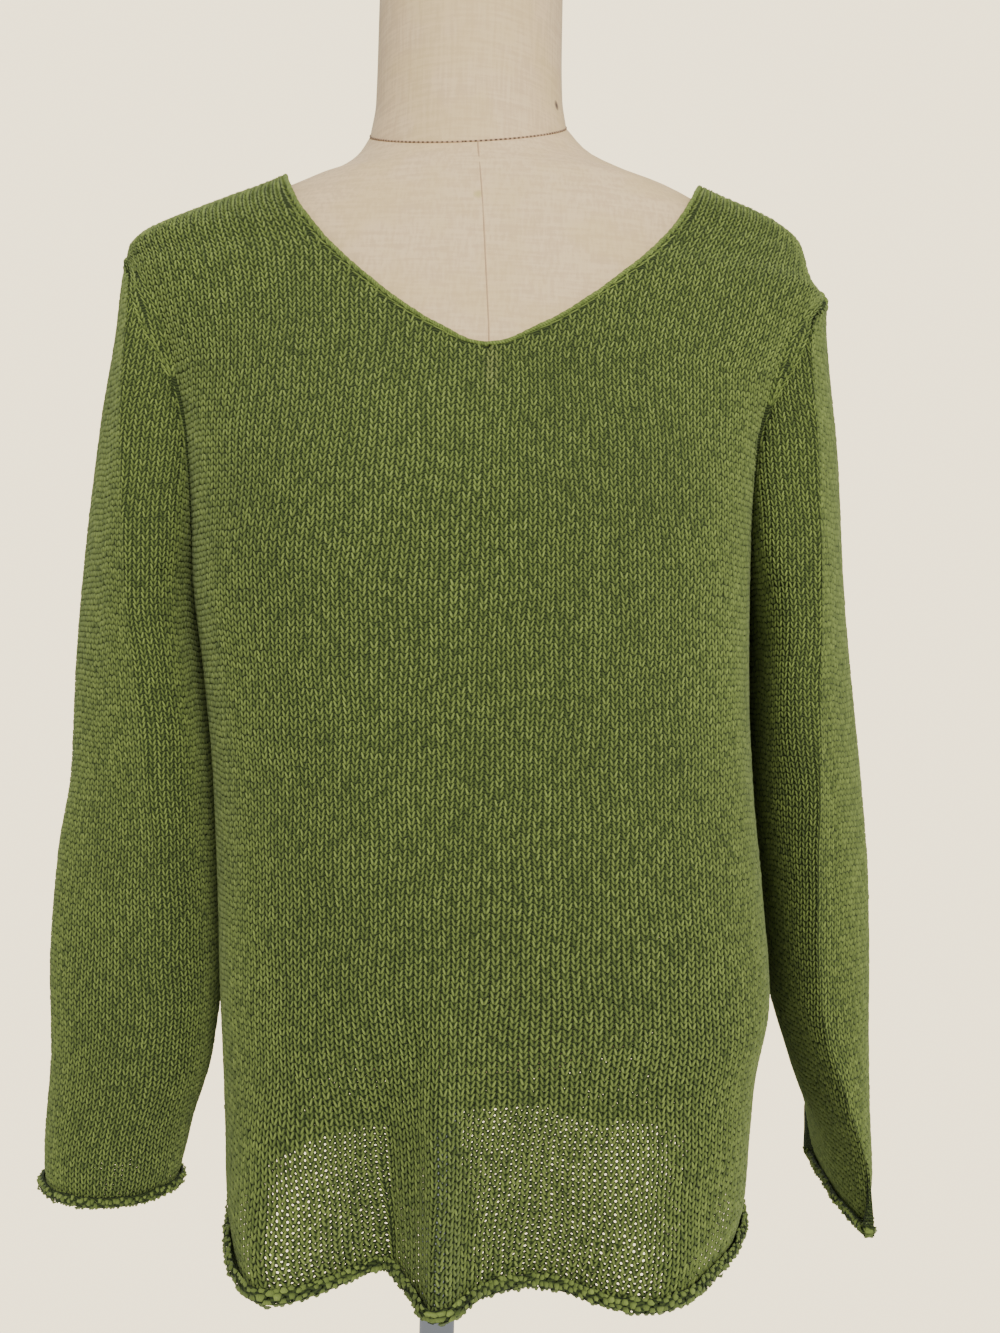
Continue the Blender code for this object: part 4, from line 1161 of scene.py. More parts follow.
@dataclass(frozen=True)
class Leg:
    """One leg of a stitch as a hipped grain, in shares of a stitch from its wale's middle."""

    foot: float = 0.10  # across, at the bottom
    head: float = 0.375  # across, at the top
    low: float = -0.10
    high: float = 1.04
    wide_foot: float = 0.165  # half the width at the bottom
    wide_head: float = 0.115  # half the width at the top
    crest: float = 0.00034  # out of the cloth's face
    side: float = -0.00075
    hip: float = 0.16  # share of the length that each sloping end takes

    def template(self, hand: int) -> tuple[Array, Array, Array, Array]:
        """The grain's points and faces.

        Args:
            hand: -1 for the leg on the left of its wale, 1 for the right.

        Returns:
            Wales across, courses along and heights of the six points, and its six faces.
        """
        foot, head = hand * self.foot, hand * self.head
        ridge = foot + (head - foot) * self.hip, foot + (head - foot) * (1 - self.hip)
        tall = self.high - self.low
        across = np.array((foot - self.wide_foot, foot + self.wide_foot,
                           head + self.wide_head, head - self.wide_head, *ridge))
        along = np.array((self.low, self.low, self.high, self.high,
                          self.low + tall * self.hip, self.high - tall * self.hip))
        heights = np.array((self.side,) * 4 + (self.crest,) * 2)
        faces = np.array(((0, 1, 4), (1, 2, 5), (1, 5, 4), (2, 3, 5), (3, 0, 4), (3, 4, 5)))
        return across, along, heights, faces


@dataclass(frozen=True)
class StitchPlaces:
    """Where stitches sit on a surface."""

    wales: Array  # the middle wale of each stitch
    courses: Array  # the course of its bottom
    leans: Array  # how many wales it leans over in one course

    def at(self, across: Array, along: Array) -> tuple[Array, Array]:
        """Wales and courses of a small shape's points in every stitch, [stitch][point]."""
        return (self.wales[:, None] + across + self.leans[:, None] * along,
                self.courses[:, None] + along)


@dataclass(frozen=True)
class Stray:
    """How unevenly small grains sit: the spreads of normal draws, in wales, courses and metres."""

    across: float
    along: float
    lift: float
    tone: float  # the mean shade
    tone_spread: float

    def tones(self, draw: np.random.Generator, count: int) -> Array:
        """One shade from 0 to 1 for each grain."""
        return np.clip(draw.normal(self.tone, self.tone_spread, count), 0.0, 1.0)


LEG_STRAY = Stray(across=0.022, along=0.06, lift=0.0001, tone=0.52, tone_spread=0.24)
PURL_STRAY = Stray(across=0.07, along=0.16, lift=0.00045, tone=0.42, tone_spread=0.16)


@dataclass
class GrainHeap:
    """Small grains of yarn, many of each kind, gathered for one mesh."""

    points: list[Array] = field(default_factory=list)
    faces: list[Array] = field(default_factory=list)
    uv: list[Array] = field(default_factory=list)
    tones: list[Array] = field(default_factory=list)

    def add(self, place: Array, corners: Array, uv: Array, tones: Array) -> None:
        """Add one kind of grain.

        Args:
            place: The points of every grain, [grain][point][3].
            corners: The corner numbers of one grain's faces, [face][3].
            uv: One grain's places on the pattern map, [point][2].
            tones: One shade a grain.
        """
        count, size = place.shape[:2]
        before = sum(len(points) for points in self.points)
        offset = before + size * np.arange(count)[:, None, None]
        self.points.append(place.reshape(-1, 3))
        self.faces.append((corners[None] + offset).reshape(-1, 3))
        self.uv.append(np.tile(uv, (count, 1)))
        self.tones.append(np.repeat(tones, size))

    def mesh(self, name: str) -> bpy.types.Mesh:
        """All grains as one mesh, with the pattern map and the shades."""
        return mesh_from_arrays(name, *(np.concatenate(kept) for kept in
                                        (self.points, self.faces, self.uv, self.tones)))


def stitch_mesh(name: str, surface: KnitSurface, places: StitchPlaces,
                seed: int) -> bpy.types.Mesh:
    """The legs of many stitches as one mesh.

    Each point of a leg is read from the surface at its own wale and course, so that legs follow
    every fold.

    Args:
        name: The mesh's name.
        surface: What the stitches lie on.
        places: Where they sit.
        seed: Draws each leg's shade and small shift.

    Returns:
        The mesh, with the pattern map and the shades.
    """
    draw = np.random.default_rng(seed)
    leg = Leg()
    uv = np.array(((0.0, 0.0), (1.0, 0.0), (1.0, 1.0), (0.0, 1.0), (0.5, leg.hip),
                   (0.5, 1.0 - leg.hip)))
    heap = GrainHeap()
    count = len(places.wales)
    for hand in (-1, 1):
        across, along, heights, corners = leg.template(hand)
        across = across[None] + draw.normal(0.0, LEG_STRAY.across, (count, 1))
        along = along[None] + draw.normal(0.0, LEG_STRAY.along, (count, 1))
        lift = draw.normal(0.0, LEG_STRAY.lift, (count, 1))
        place = surface.at(*places.at(across, along), heights[None] + lift)
        heap.add(place, corners[:, ::-1] if surface.way < 0 else corners, uv,
                 LEG_STRAY.tones(draw, count))
    return heap.mesh(name)


@dataclass(frozen=True)
class PurlBump:
    """A bump of the purl side, a grain across the wale, in shares of a stitch from its middle."""

    tip: float = 0.29  # half the length
    shoulder: float = 0.15  # half the length of its long sides
    ridge: float = 0.10  # half the length of its crest
    wide: float = 0.40  # half the width
    foot: float = 0.0004  # into the cloth's wall
    crest: float = 0.0008  # out of it

    def template(self, bow: float) -> tuple[Array, Array, Array, Array]:
        """The bump's points and faces.

        Args:
            bow: How far its middle lies up from its tips.

        Returns:
            Wales across, courses along and heights of the eight points, and its eight faces.
        """
        across = np.array((-self.tip, -self.shoulder, self.shoulder, self.tip, self.shoulder,
                           -self.shoulder, -self.ridge, self.ridge))
        along = np.array((-bow, bow - self.wide, bow - self.wide, -bow, self.wide + bow,
                          self.wide + bow, bow, bow))
        wall = -(GROUND_DEPTH + GROUND_WALL)
        heights = np.array((wall + self.foot,) * 6 + (wall - self.crest,) * 2)
        faces = np.array(((0, 1, 6), (1, 2, 7), (1, 7, 6), (2, 3, 7), (3, 4, 7), (4, 6, 7),
                          (4, 5, 6), (5, 0, 6)))
        return across, along, heights, faces


def purl_mesh(name: str, surface: KnitSurface, places: StitchPlaces,
              seed: int) -> bpy.types.Mesh:
    """The bumps of the purl side, where a curled edge turns it outward.

    Two bumps a stitch, one half a wale and half a course from the other, each a grain that lies
    across the wale.

    Args:
        name: The mesh's name.
        surface: What the stitches lie on.
        places: Where they sit.
        seed: Draws the shades.

    Returns:
        The mesh.
    """
    draw = np.random.default_rng(seed)
    bump = PurlBump()
    heap = GrainHeap()
    count = len(places.wales)
    for offset_u, offset_v, bow in ((0.0, 0.10, 0.10), (0.5, 0.60, -0.10)):
        across, along, heights, corners = bump.template(bow)
        across, along = across + offset_u, along + offset_v
        lift = np.abs(draw.normal(0.0, PURL_STRAY.lift, (count, 1)))
        rise = draw.normal(0.0, PURL_STRAY.along, (count, 1))
        aside = draw.normal(0.0, PURL_STRAY.across, (count, 1))
        place = surface.at(*places.at(across[None] + aside, along[None] + rise),
                           heights[None] - lift)
        heap.add(place, corners if surface.way < 0 else corners[:, ::-1],
                 np.stack((along - along.min(), across - across.min()), axis=1),
                 PURL_STRAY.tones(draw, count))
    return heap.mesh(name)


def add_wall(ground: bpy.types.Object) -> None:
    """Give a ground its thickness, inward from its outer face."""
    wall = ground.modifiers.new("wall", "SOLIDIFY")
    wall.thickness = GROUND_WALL
    wall.offset = -1.0


def ground_mesh(name: str, surfaces: Sequence[KnitSurface],
                zones: Sequence[tuple[float, float, float]], columns: int = 48) -> bpy.types.Mesh:
    """The ground of one piece: a grid over each of its surfaces, joined where they touch.

    Args:
        name: The mesh's name.
        surfaces: The halves of a panel, or a sleeve's one tube.
        zones: First course, last course and rows a course of each zone, from the lowest up.
        columns: The grid's columns on each surface.

    Returns:
        The mesh, whose pattern map counts wales and courses.
    """
    points, faces, uv = [], [], []
    total = 0
    for surface in surfaces:
        course = np.concatenate([np.linspace(a, b, max(2, int((b - a) * rate)), endpoint=False)
                                 for a, b, rate in zones] + [np.array((zones[-1][1],))])
        first, last = surface.limits(course)
        share = np.linspace(0.0, 1.0, columns)
        wale = first[:, None] + (last - first)[:, None] * share[None]
        grid_course = np.broadcast_to(course[:, None], wale.shape)
        place = surface.at(wale, grid_course, -GROUND_DEPTH)
        quads = grid_faces(len(course), columns) + total
        faces.append(quads if surface.way > 0 else quads[:, ::-1])
        points.append(place.reshape(-1, 3))
        uv.append(np.stack((wale, grid_course), axis=-1).reshape(-1, 2))
        total += place.size // 3
    mesh = mesh_from_arrays(name, np.concatenate(points), np.concatenate(faces),
                            np.concatenate(uv))
    merge_doubles(mesh, 0.00002)
    return mesh


def stitch_places(surface: KnitSurface, low: float, high: float, edge: float = 0.50,
                  spare: float = 0.44) -> StitchPlaces:
    """All stitches that fit on a surface.

    Both ends of a course have a stitch that follows the edge. Between them lie the whole wales
    that keep clear of these two.

    Args:
        surface: The surface.
        low: The first course.
        high: The last course.
        edge: Wales from the edge to the middle of the stitch that follows it.
        spare: Wales that the others keep from it.

    Returns:
        Their places.
    """
    course = np.arange(math.ceil(low), math.floor(high)).astype(float)
    first, last = surface.limits(course + 0.5)
    ends = []
    for side, index in ((1.0, 0), (-1.0, 1)):
        lean = surface.limits(course + 1.0)[index] - surface.limits(course)[index]
        ends.append((surface.limits(course)[index] + side * edge, np.clip(lean, -1.2, 1.2)))
    wale = np.arange(math.floor(first.min()), math.ceil(last.max())) + 0.5
    fits = ((wale[None] - first[:, None] >= edge + spare)
            & (last[:, None] - wale[None] >= edge + spare))
    at_course, at_wale = np.nonzero(fits)
    wide = last - first > 1.2
    return StitchPlaces(
        np.concatenate((wale[at_wale], ends[0][0][wide], ends[1][0][wide])),
        np.concatenate((course[at_course], course[wide], course[wide])),
        np.concatenate((np.zeros(len(at_wale)), ends[0][1][wide], ends[1][1][wide])))


@dataclass
class BodyPanel:
    """The front or the back of the sweater."""

    name: str
    face: Face
    body: BodyShape
    yarn: YarnFinish
    curl_radius: float = 0.0020
    curl_courses: float = 4.0
    seam_radius: float = 0.0013
    seam_depth: float = 0.0013
    seam_reach: float = 0.62  # how far up the armhole its seam shows
    edge_depth: float = 0.0009  # of the neck edge's cord
    hem_sway: float = 0.0  # how far the hem rises and falls
    fan: float = 0.4  # how much the wales spread towards the shoulder's tip
    columns: int = 260
    seed: int = 11
    surfaces: dict[int, KnitSurface] = field(default_factory=dict)
    marks: dict[int, list[float]] = field(default_factory=dict)
    top_course: float = 0.0

    def count_courses(self) -> tuple[Array, Array]:
        """Count the courses from the hem up, the same for both halves so that they meet.

        The gap between two rows is their step less the part of it that runs along the row, and
        is the mean of five places on each half.

        Returns:
            Fine rows of the cut, and the courses up to each.
        """
        fine = np.linspace(0.0, len(BodyShape.row_heights(0)) - 1.0, 1600)
        gaps = []
        for side in (-1, 1):
            for share in (0.15, 0.32, 0.5, 0.68, 0.85):
                line = self.body.half_panel(side, self.face.value, fine, np.full(1, share))
                beside = self.body.half_panel(side, self.face.value, fine, np.full(1, share + 0.01))
                run = (beside - line)[:-1]
                run /= np.linalg.norm(run, axis=1, keepdims=True)
                step = np.diff(line, axis=0)
                step -= run * np.sum(step * run, axis=1, keepdims=True)
                gaps.append(np.linalg.norm(step, axis=1))
        return fine, np.concatenate(([0.0], np.cumsum(np.mean(gaps, axis=0)))) / COURSE

    def shape_half(self, side: int) -> None:
        """Work out the surface of one half and how its wales run.

        Below the underarm every course holds all wales. Above it they keep a width that changes
        softly, and end on the armhole, on the v's edge as its table says, and past the
        shoulder's tip on the shoulder seam.

        Args:
            side: -1 for the half on the viewer's left, 1 for the right.
        """
        facing = self.face.value
        fine, counted = self.count_courses()
        top = math.floor(counted[-1] * PER_COURSE) / PER_COURSE
        course = np.arange(0.0, top + 0.01, 1.0 / PER_COURSE)
        row = np.interp(course * counted[-1] / top, counted, fine)
        share = np.linspace(0.0, 1.0, 700)
        points, length = even_spread(
            self.body.half_panel(side, facing, row[:, None], share[None, :]), self.columns)
        middle_z = self.body.height(0, row)
        edge_z = self.body.height(side, row)
        marks = [float(np.interp(z, heights, course)) for z, heights in
                 ((UNDERARM_Z, middle_z), (V_BOTTOM_Z, middle_z), (TIP_Z[side], edge_z))]
        lengths = np.interp(marks, course, length)
        lengths[0] = length[int(marks[0] * PER_COURSE)]
        if facing > 0:
            start = self.body.v_edge.read(np.maximum(middle_z - V_BOTTOM_Z, 0.0))["wales"]
        else:
            start = np.zeros_like(course)
        at_tip = float(np.interp(marks[2], course, start))
        widths = [lengths[0] / HALF_WALES, lengths[1] / ARMHOLE_WALES,
                  lengths[2] / (TIP_WALES - at_tip), SHOULDER_WALE]
        widths[2] = widths[1] + self.fan * (widths[2] - widths[1])
        width = np.interp(course, (*marks, top), widths)
        width = np.where(course < marks[1] - 8.0, width, soften(width, 12))
        last = np.where(course < marks[0], HALF_WALES, start + length / width)
        sway = sum(size * np.sin(points[0, :, 0] * rate + phase)
                   for size, rate, phase in SWAY_WAVES)
        points[..., 2] += self.hem_sway * sway * np.exp(-course / SWAY_REACH)[:, None]
        normals = KnitSurface(points, start, last, 0.0, side * facing).normals[0]
        curl = curl_grid(points[0], normals, self.curl_radius, self.curl_courses, self.seed + side)
        extra = len(curl)
        self.surfaces[side] = KnitSurface(
            np.concatenate((curl, points)), np.concatenate((np.zeros(extra), start)),
            np.concatenate((np.full(extra, last[0]), last)), -self.curl_courses, side * facing,
            side, True)
        self.marks[side] = marks
        self.top_course = top

    def join_halves(self) -> None:
        """Give both halves the same normals where they meet in the middle."""
        rows = self.surfaces[1].first == 0.0
        shared = sum(surface.normals[rows, 0] for surface in self.surfaces.values())
        shared /= np.linalg.norm(shared, axis=1, keepdims=True)
        for surface in self.surfaces.values():
            surface.normals[rows, 0] = shared

    def build(self) -> bpy.types.Object:
        """Make the ground, the legs of the stitches and the curled hem.

        Returns:
            The ground, which stands for the panel's solid.
        """
        for side in (-1, 1):
            self.shape_half(side)
        self.join_halves()
        v_bottom = self.marks[1][1]
        zones = ((-self.curl_courses, 0.0, 2.0), (0.0, v_bottom, 0.7),
                 (v_bottom, self.top_course, 0.7))
        name = self.name + "_ground"
        ground = place_piece(ground_mesh(name, list(self.surfaces.values()), zones),
                             self.yarn.ground(name, 1.0))
        add_wall(ground)
        legs = self.yarn.legs()
        for side, surface in self.surfaces.items():
            where = SIDES[side]
            places = stitch_places(surface, 0.0, self.top_course)
            mesh = stitch_mesh(f"{self.name}_stitches_{where}", surface, places,
                               self.seed + 5 * side)
            place_piece(mesh, legs)
            mesh = purl_mesh(f"{self.name}_hem_{where}", surface,
                             stitch_places(surface, -self.curl_courses, 1.0),
                             self.seed + 7 * side)
            place_piece(mesh, legs)
        self.seams()
        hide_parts(self.name)
        return ground

    def seams(self) -> list[bpy.types.Object]:
        """Lay a soft cord into the seams along each half's outer edge.

        The front's run up the side seam into the armhole and along the shoulder. The back's is
        needed in the armhole alone. Higher in the armhole the cloth flows over the seam.

        Returns:
            The cords.
        """
        cords = []
        for side, surface in self.surfaces.items():
            under, _, tip = self.marks[side]
            high = under + self.seam_reach * (tip - under)
            runs = {"armhole": (under, high)}
            if self.face is Face.FRONT:
                runs = {"side": (0.0, high), "shoulder": (tip, self.top_course)}
            for run, (start, end) in runs.items():
                course = np.linspace(start, end, int((end - start) * 2))
                line = surface.at(surface.limits(course)[1], course, -self.seam_depth)
                uneven = 1.0 + 0.16 * soft_noise(course / 9.0, self.seed + side)
                mesh = tube_mesh(f"{self.name}_{run}_seam_{SIDES[side]}", line,
                                 self.seam_radius * uneven, 8)
                # The seam's cord is painted mostly in shade, as it lies sunk in the seam.
                cords.append(place_piece(mesh, self.yarn.cord("seam", 0.8)))
        return cords

    def neck_line(self) -> Array:
        """The neck edge: along the v for the front, along the top course for the back."""
        halves = []
        for side in (-1, 1):
            surface = self.surfaces[side]
            if self.face is Face.FRONT:
                course = np.linspace(self.marks[side][1], self.top_course, 220)
                share = np.zeros_like(course)
            else:
                share = np.linspace(0.0, 1.0, 160)
                course = np.full_like(share, self.top_course)
            first, last = surface.limits(course)
            line = surface.at(first + (last - first) * share, course, -self.edge_depth)
            halves.append(line[::-1] if side < 0 else line)
        return np.concatenate((halves[0], halves[1][1:]))


@dataclass
class Sleeve:
    """A sleeve, a tube from the armhole to its curled cuff."""

    name: str
    side: int
    table: SizeTable
    yarn: YarnFinish
    curl_radius: float = 0.0016
    curl_courses: float = 3.5
    inset: float = 0.0036  # how far the cuff draws in above its curl
    gather: float = 0.5  # how much denser the wales are at the shoulder's tip
    columns: int = 400
    rough_steps: int = 4  # points on a quarter of the ring, to count courses
    fine_steps: int = 120  # and to spread the wales
    seed: int = 31
    surface: KnitSurface | None = None
    top_course: float = 0.0
    creases: dict[Face, Array] = field(default_factory=dict)  # shares of the ring up to a crease
    heights: Array | None = None  # of the rows from the cuff up

    def shape(self) -> None:
        """Work out the tube's surface. Wales are counted from the middle of the ring.

        Below the underarm the number of wales rises from cuff to top. Above it the armhole ends
        some and the rest draw together towards the shoulder's tip.
        """
        shape = SleeveShape(self.side, self.table)
        cuff_z = self.table.rows[0][0] + self.curl_radius + WALL
        top_z = TIP_Z[self.side] - TIP_GAP
        fine = np.linspace(cuff_z, top_z, 1200)
        outside = 2 * self.rough_steps
        counted = courses_along(shape.ring(fine, self.rough_steps)[:, outside], COURSE)
        top = math.floor(counted[-1] * PER_COURSE) / PER_COURSE
        course = np.arange(0.0, top + 0.01, 1.0 / PER_COURSE)
        z = np.interp(course * counted[-1] / top, counted, fine)
        rings = shape.ring(z, self.fine_steps)
        steps = np.linalg.norm(np.diff(rings, axis=1), axis=2)
        first, last = steps[:, :self.fine_steps], steps[:, 3 * self.fine_steps:]
        self.creases = {Face.FRONT: first.sum(axis=1) / steps.sum(axis=1),
                        Face.BACK: last.sum(axis=1) / steps.sum(axis=1)}
        self.heights = z
        points, length = even_spread(rings, self.columns)
        inward = KnitSurface(points, -length, length, 0.0, -self.side).normals * (1.0, 1.0, 0.0)
        points = points + inward * (self.inset * np.exp(-course / 5.0))[:, None, None]
        points[:, -1] = points[:, 0] = (points[:, 0] + points[:, -1]) / 2
        underarm = float(np.interp(UNDERARM_Z, z, course))
        wales = np.interp(course, (0.0, underarm), (SLEEVE_WALES_CUFF, SLEEVE_WALES_TOP))
        width = length[int(underarm * PER_COURSE)] / SLEEVE_WALES_TOP
        up = np.maximum(course - underarm, 0.0) / (top - underarm)
        cap = length / width * (1.0 + self.gather * up ** 4)
        wales = np.where(course > underarm, cap, wales)
        way = self.side
        normals = KnitSurface(points, -wales / 2, wales / 2, 0.0, way).normals[0]
        curl = curl_grid(points[0], normals, self.curl_radius, self.curl_courses, self.seed)
        curl[:, -1] = curl[:, 0]
        half = np.concatenate((np.full(len(curl), wales[0] / 2), wales / 2))
        self.surface = KnitSurface(np.concatenate((curl, points)), -half, half,
                                   -self.curl_courses, way)
        self.top_course = top

    def tip_roll(self) -> bpy.types.Object:
        """The gathered end of the armhole seam, a small knot at the shoulder's tip."""
        share = np.linspace(-1.0, 1.0, 19)
        out = abs(self.table.rows[-1][1]) - 0.0006 + 0.0024 * (1.0 - share ** 2)
        path = np.stack((self.side * out, 0.0035 * share - 0.001,
                         TIP_Z[self.side] + 0.0005 + 0.0080 * share), axis=1)
        radii = (0.0022 * (1.0 - 0.40 * share ** 2)
                 * (1.0 + 0.40 * np.abs(np.sin(5.2 * share + 0.6))))
        # The knot at the tip is painted with a little shade.
        return place_piece(tube_mesh(self.name + "_tip", path, radii), self.yarn.cord("tip", 0.2))

    def build(self, panels: Sequence[BodyPanel]) -> bpy.types.Object:
        """Make the ground, the legs of the stitches, the curled cuff and the armhole's cloth.

        Args:
            panels: The front and the back that the sleeve joins.

        Returns:
            The ground, which stands for the sleeve's solid.
        """
        self.shape()
        surface = self.surface
        zones = ((-self.curl_courses, 0.0, 2.0), (0.0, self.top_course, 0.7))
        ground = place_piece(ground_mesh(self.name + "_ground", [surface], zones, columns=110),
                             self.yarn.ground(self.name + "_ground", 0.64))
        add_wall(ground)
        legs = self.yarn.legs()
        places = stitch_places(surface, 0.0, self.top_course)
        mesh = stitch_mesh(self.name + "_stitches", surface, places, self.seed)
        pieces = [place_piece(mesh, legs)]
        curled = stitch_places(surface, -self.curl_courses, 1.0)
        mesh = purl_mesh(self.name + "_cuff", surface, curled, self.seed + 3)
        pieces.append(place_piece(mesh, legs))
        for panel in panels:
            pieces.extend(ArmholeFlow(panel, self, self.yarn).build())
        pieces.append(self.tip_roll())
        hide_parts(self.name)
        return ground


@dataclass
class ArmholeFlow:
    """The cloth over the armhole seam, where a panel flows into the top of a sleeve."""

    panel: BodyPanel
    sleeve: Sleeve
    yarn: YarnFinish
    lap: float = 2.4  # wales of the panel that it covers at the most
    slack: tuple[float, float] = (0.45, 0.50)  # how long it keeps each side's slope
    beside: float = 0.8  # wales over which that slope is read
    lift: float = 0.0002  # out of both surfaces
    # How far up the armhole, and how far it reaches from the seam to the sleeve's crease.
    reach: tuple[tuple[float, float], ...] = ((0.0, 0.05), (0.42, 0.06), (0.55, 0.16), (0.65, 0.36),
                                              (0.75, 0.70), (0.84, 1.0), (1.0, 1.0))
    columns: int = 11

    def surface(self) -> KnitSurface:
        """A strip that leaves the panel and meets the sleeve along their own slopes.

        Each row is a cubic Hermite curve between its two ends.

        Returns:
            The strip, whose wales count from the panel's side.
        """
        side, face = self.sleeve.side, self.panel.face
        body, arm = self.panel.surfaces[side], self.sleeve.surface
        under, _, tip = self.panel.marks[side]
        step = 1.0 / PER_COURSE
        course = np.arange(math.ceil(under * PER_COURSE) * step, tip - 0.5, step)
        last = body.limits(course)[1]
        z = body.at(last, course, 0.0)[:, 2]
        up = np.clip(BodyShape.armhole_share(z, side), 0.0, 1.0)
        share = np.interp(up, *np.array(self.reach).T)
        lap = self.lap * np.clip(0.12 + share, 0.0, 1.0)
        courses = step * np.arange(len(self.sleeve.heights))
        arm_course = np.interp(z, self.sleeve.heights, courses)
        low, high = arm.limits(arm_course)
        crease = np.interp(arm_course, courses, self.sleeve.creases[face])
        over = share * crease * (high - low)
        way = 1.0 if face is Face.FRONT else -1.0
        meet = low + over if face is Face.FRONT else high - over
        start, end = body.at(last - lap, course, self.lift), arm.at(meet, arm_course, self.lift)
        leave = start - body.at(last - lap - self.beside, course, self.lift)
        arrive = arm.at(meet + self.beside * way, arm_course, self.lift) - end
        size = np.linalg.norm(end - start, axis=1, keepdims=True)
        leave *= self.slack[0] * size / np.linalg.norm(leave, axis=1, keepdims=True)
        arrive *= self.slack[1] * size / np.linalg.norm(arrive, axis=1, keepdims=True)
        t = np.linspace(0.0, 1.0, self.columns)[None, :, None]
        points = ((2 * t ** 3 - 3 * t ** 2 + 1) * start[:, None] + (t ** 3 - 2 * t ** 2 + t)
                  * leave[:, None] + (3 * t ** 2 - 2 * t ** 3) * end[:, None]
                  + (t ** 3 - t ** 2) * arrive[:, None])
        points, length = even_spread(points, self.columns)
        return KnitSurface(points, np.zeros_like(length), length / WALE, 0.0, side * face.value,
                           side)

    def build(self) -> list[bpy.types.Object]:
        """Make the strip's ground and its stitches."""
        surface = self.surface()
        name = f"{self.sleeve.name}_{self.panel.name}_armhole"
        top = (len(surface.points) - 1) / PER_COURSE
        finish = self.yarn.ground(name, 0.6)
        ground = place_piece(ground_mesh(name + "_ground", [surface], ((0.0, top, 1.0),),
                                         self.columns), finish)
        places = stitch_places(surface, 0.0, top, spare=0.40)
        stitches = place_piece(stitch_mesh(name + "_stitches", surface, places,
                                           self.sleeve.seed + self.panel.seed),
                               self.yarn.legs())
        return [ground, stitches]


# ---- the form and its stand ----------------------------------------------------------------------

@dataclass
class DressForm:
    """The padded torso and the neck that is sewn on along a tilted seam."""

    linen: LinenFinish
    columns: int = 144
    rows: int = 150

    @staticmethod
    def ring(table: SizeTable, z: Array, turn: Array, lift: Array | float = 0.0) -> Array:
        """Rings on their own tilted planes.

        A superellipse in plan. The height of a point is z + tilt x y + lean x x + lift.

        Args:
            table: The form's or the neck's sizes.
            z: Heights of the rings' middles, [row][1].
            turn: Angles round a ring, [1][column].
            lift: Added height of each ring.

        Returns:
            The points, [row][column][3].
        """
        size = table.read(z)
        middle = (size["left"] + size["right"]) / 2
        half = (size["right"] - size["left"]) / 2
        depth = np.where(np.cos(turn) > 0.0, -size["front"], size["back"])
        power = size["square"]
        reach = ((np.abs(np.sin(turn)) / half) ** power
                 + (np.abs(np.cos(turn)) / depth) ** power) ** (-1.0 / power)
        x = middle + reach * np.sin(turn)
        y = -reach * np.cos(turn)
        height = z + size["tilt"] * y + size["lean"] * x + lift
        return np.stack(np.broadcast_arrays(x, y, height), axis=-1)

    def shell(self, name: str, rows: tuple, count: int, replaced: str,
              lift: float) -> bpy.types.Object:
        """A closed piece of the form, finer than its solid.

        Args:
            name: The piece's name.
            rows: The size table's rows.
            count: How many rings it gets.
            replaced: The node that it stands for.
            lift: How far its lowest ring is raised.

        Returns:
            The piece.
        """
        table = SizeTable(FORM_COLUMNS, rows)
        z = np.linspace(rows[0][0], rows[-1][0], count)[:, None]
        turn = np.linspace(0.0, 2 * math.pi, self.columns + 1)[None, :]
        up = (z - z[0]) / (z[-1] - z[0])
        rings = self.ring(table, z, turn, lift * (1.0 - up))
        low, high = (np.repeat(ring.mean(axis=1, keepdims=True), self.columns + 1, axis=1)
                     for ring in (rings[:1], rings[-1:]))
        rings = np.concatenate((low, rings[:1], rings, rings[-1:], high))
        mesh = mesh_from_arrays(name, rings.reshape(-1, 3),
                                grid_faces(len(rings), self.columns + 1))
        merge_doubles(mesh, MESH_REACH)
        mesh.set_sharp_from_angle(angle=math.radians(50.0))
        piece = place_piece(mesh, self.linen.cover())
        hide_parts(replaced)
        return piece

    def neck_seam(self) -> Array:
        """The tilted seam between torso and neck."""
        turn = np.linspace(0.0, 2 * math.pi, 241)[None, :]
        z = np.full((1, 1), NECK_RINGS[0][0])
        return self.ring(SizeTable(FORM_COLUMNS, NECK_RINGS), z, turn, 0.0003)[0]

    def middle_seam(self, middle: float) -> Array:
        """The upright seam down the torso, which wanders a little to the viewer's right.

        Args:
            middle: The angle of the form's middle, 0 in front and pi behind.

        Returns:
            The line from the neck seam down to the torso's edge.
        """
        z = np.linspace(FORM_RINGS[-1][0], FORM_RINGS[0][0] + 0.004, 160)
        across = np.interp(z, (1.25, 1.37, 1.41), (0.0185, 0.0096, 0.0080))
        turn = middle + np.linspace(-0.5, 0.5, 1501)
        rings = self.ring(SizeTable(FORM_COLUMNS, FORM_RINGS), z[:, None], turn[None, :])
        nearest = np.abs(rings[..., 0] - across[:, None]).argmin(axis=1)
        line = rings[np.arange(len(z)), nearest]
        return np.stack([soften(line[:, k], 6) for k in range(3)], axis=1)

    def build(self) -> None:
        """Make the torso, the neck and their seams."""
        self.shell("form_cover", FORM_RINGS, self.rows, "form_torso", 0.0)
        self.shell("neck_cover", NECK_RINGS, 60, "form_neck", 0.0006)
        seam = self.neck_seam()
        mesh = tube_mesh("neck_seam", seam, np.full(len(seam), 0.0006), 8)
        place_piece(mesh, self.linen.stitching())
        for name, middle in (("front_seam", 0.0), ("back_seam", math.pi)):
            seam = self.middle_seam(middle)
            mesh = tube_mesh("form_" + name, seam, np.full(len(seam), 0.0004), 8)
            place_piece(mesh, self.linen.pressed_seam())


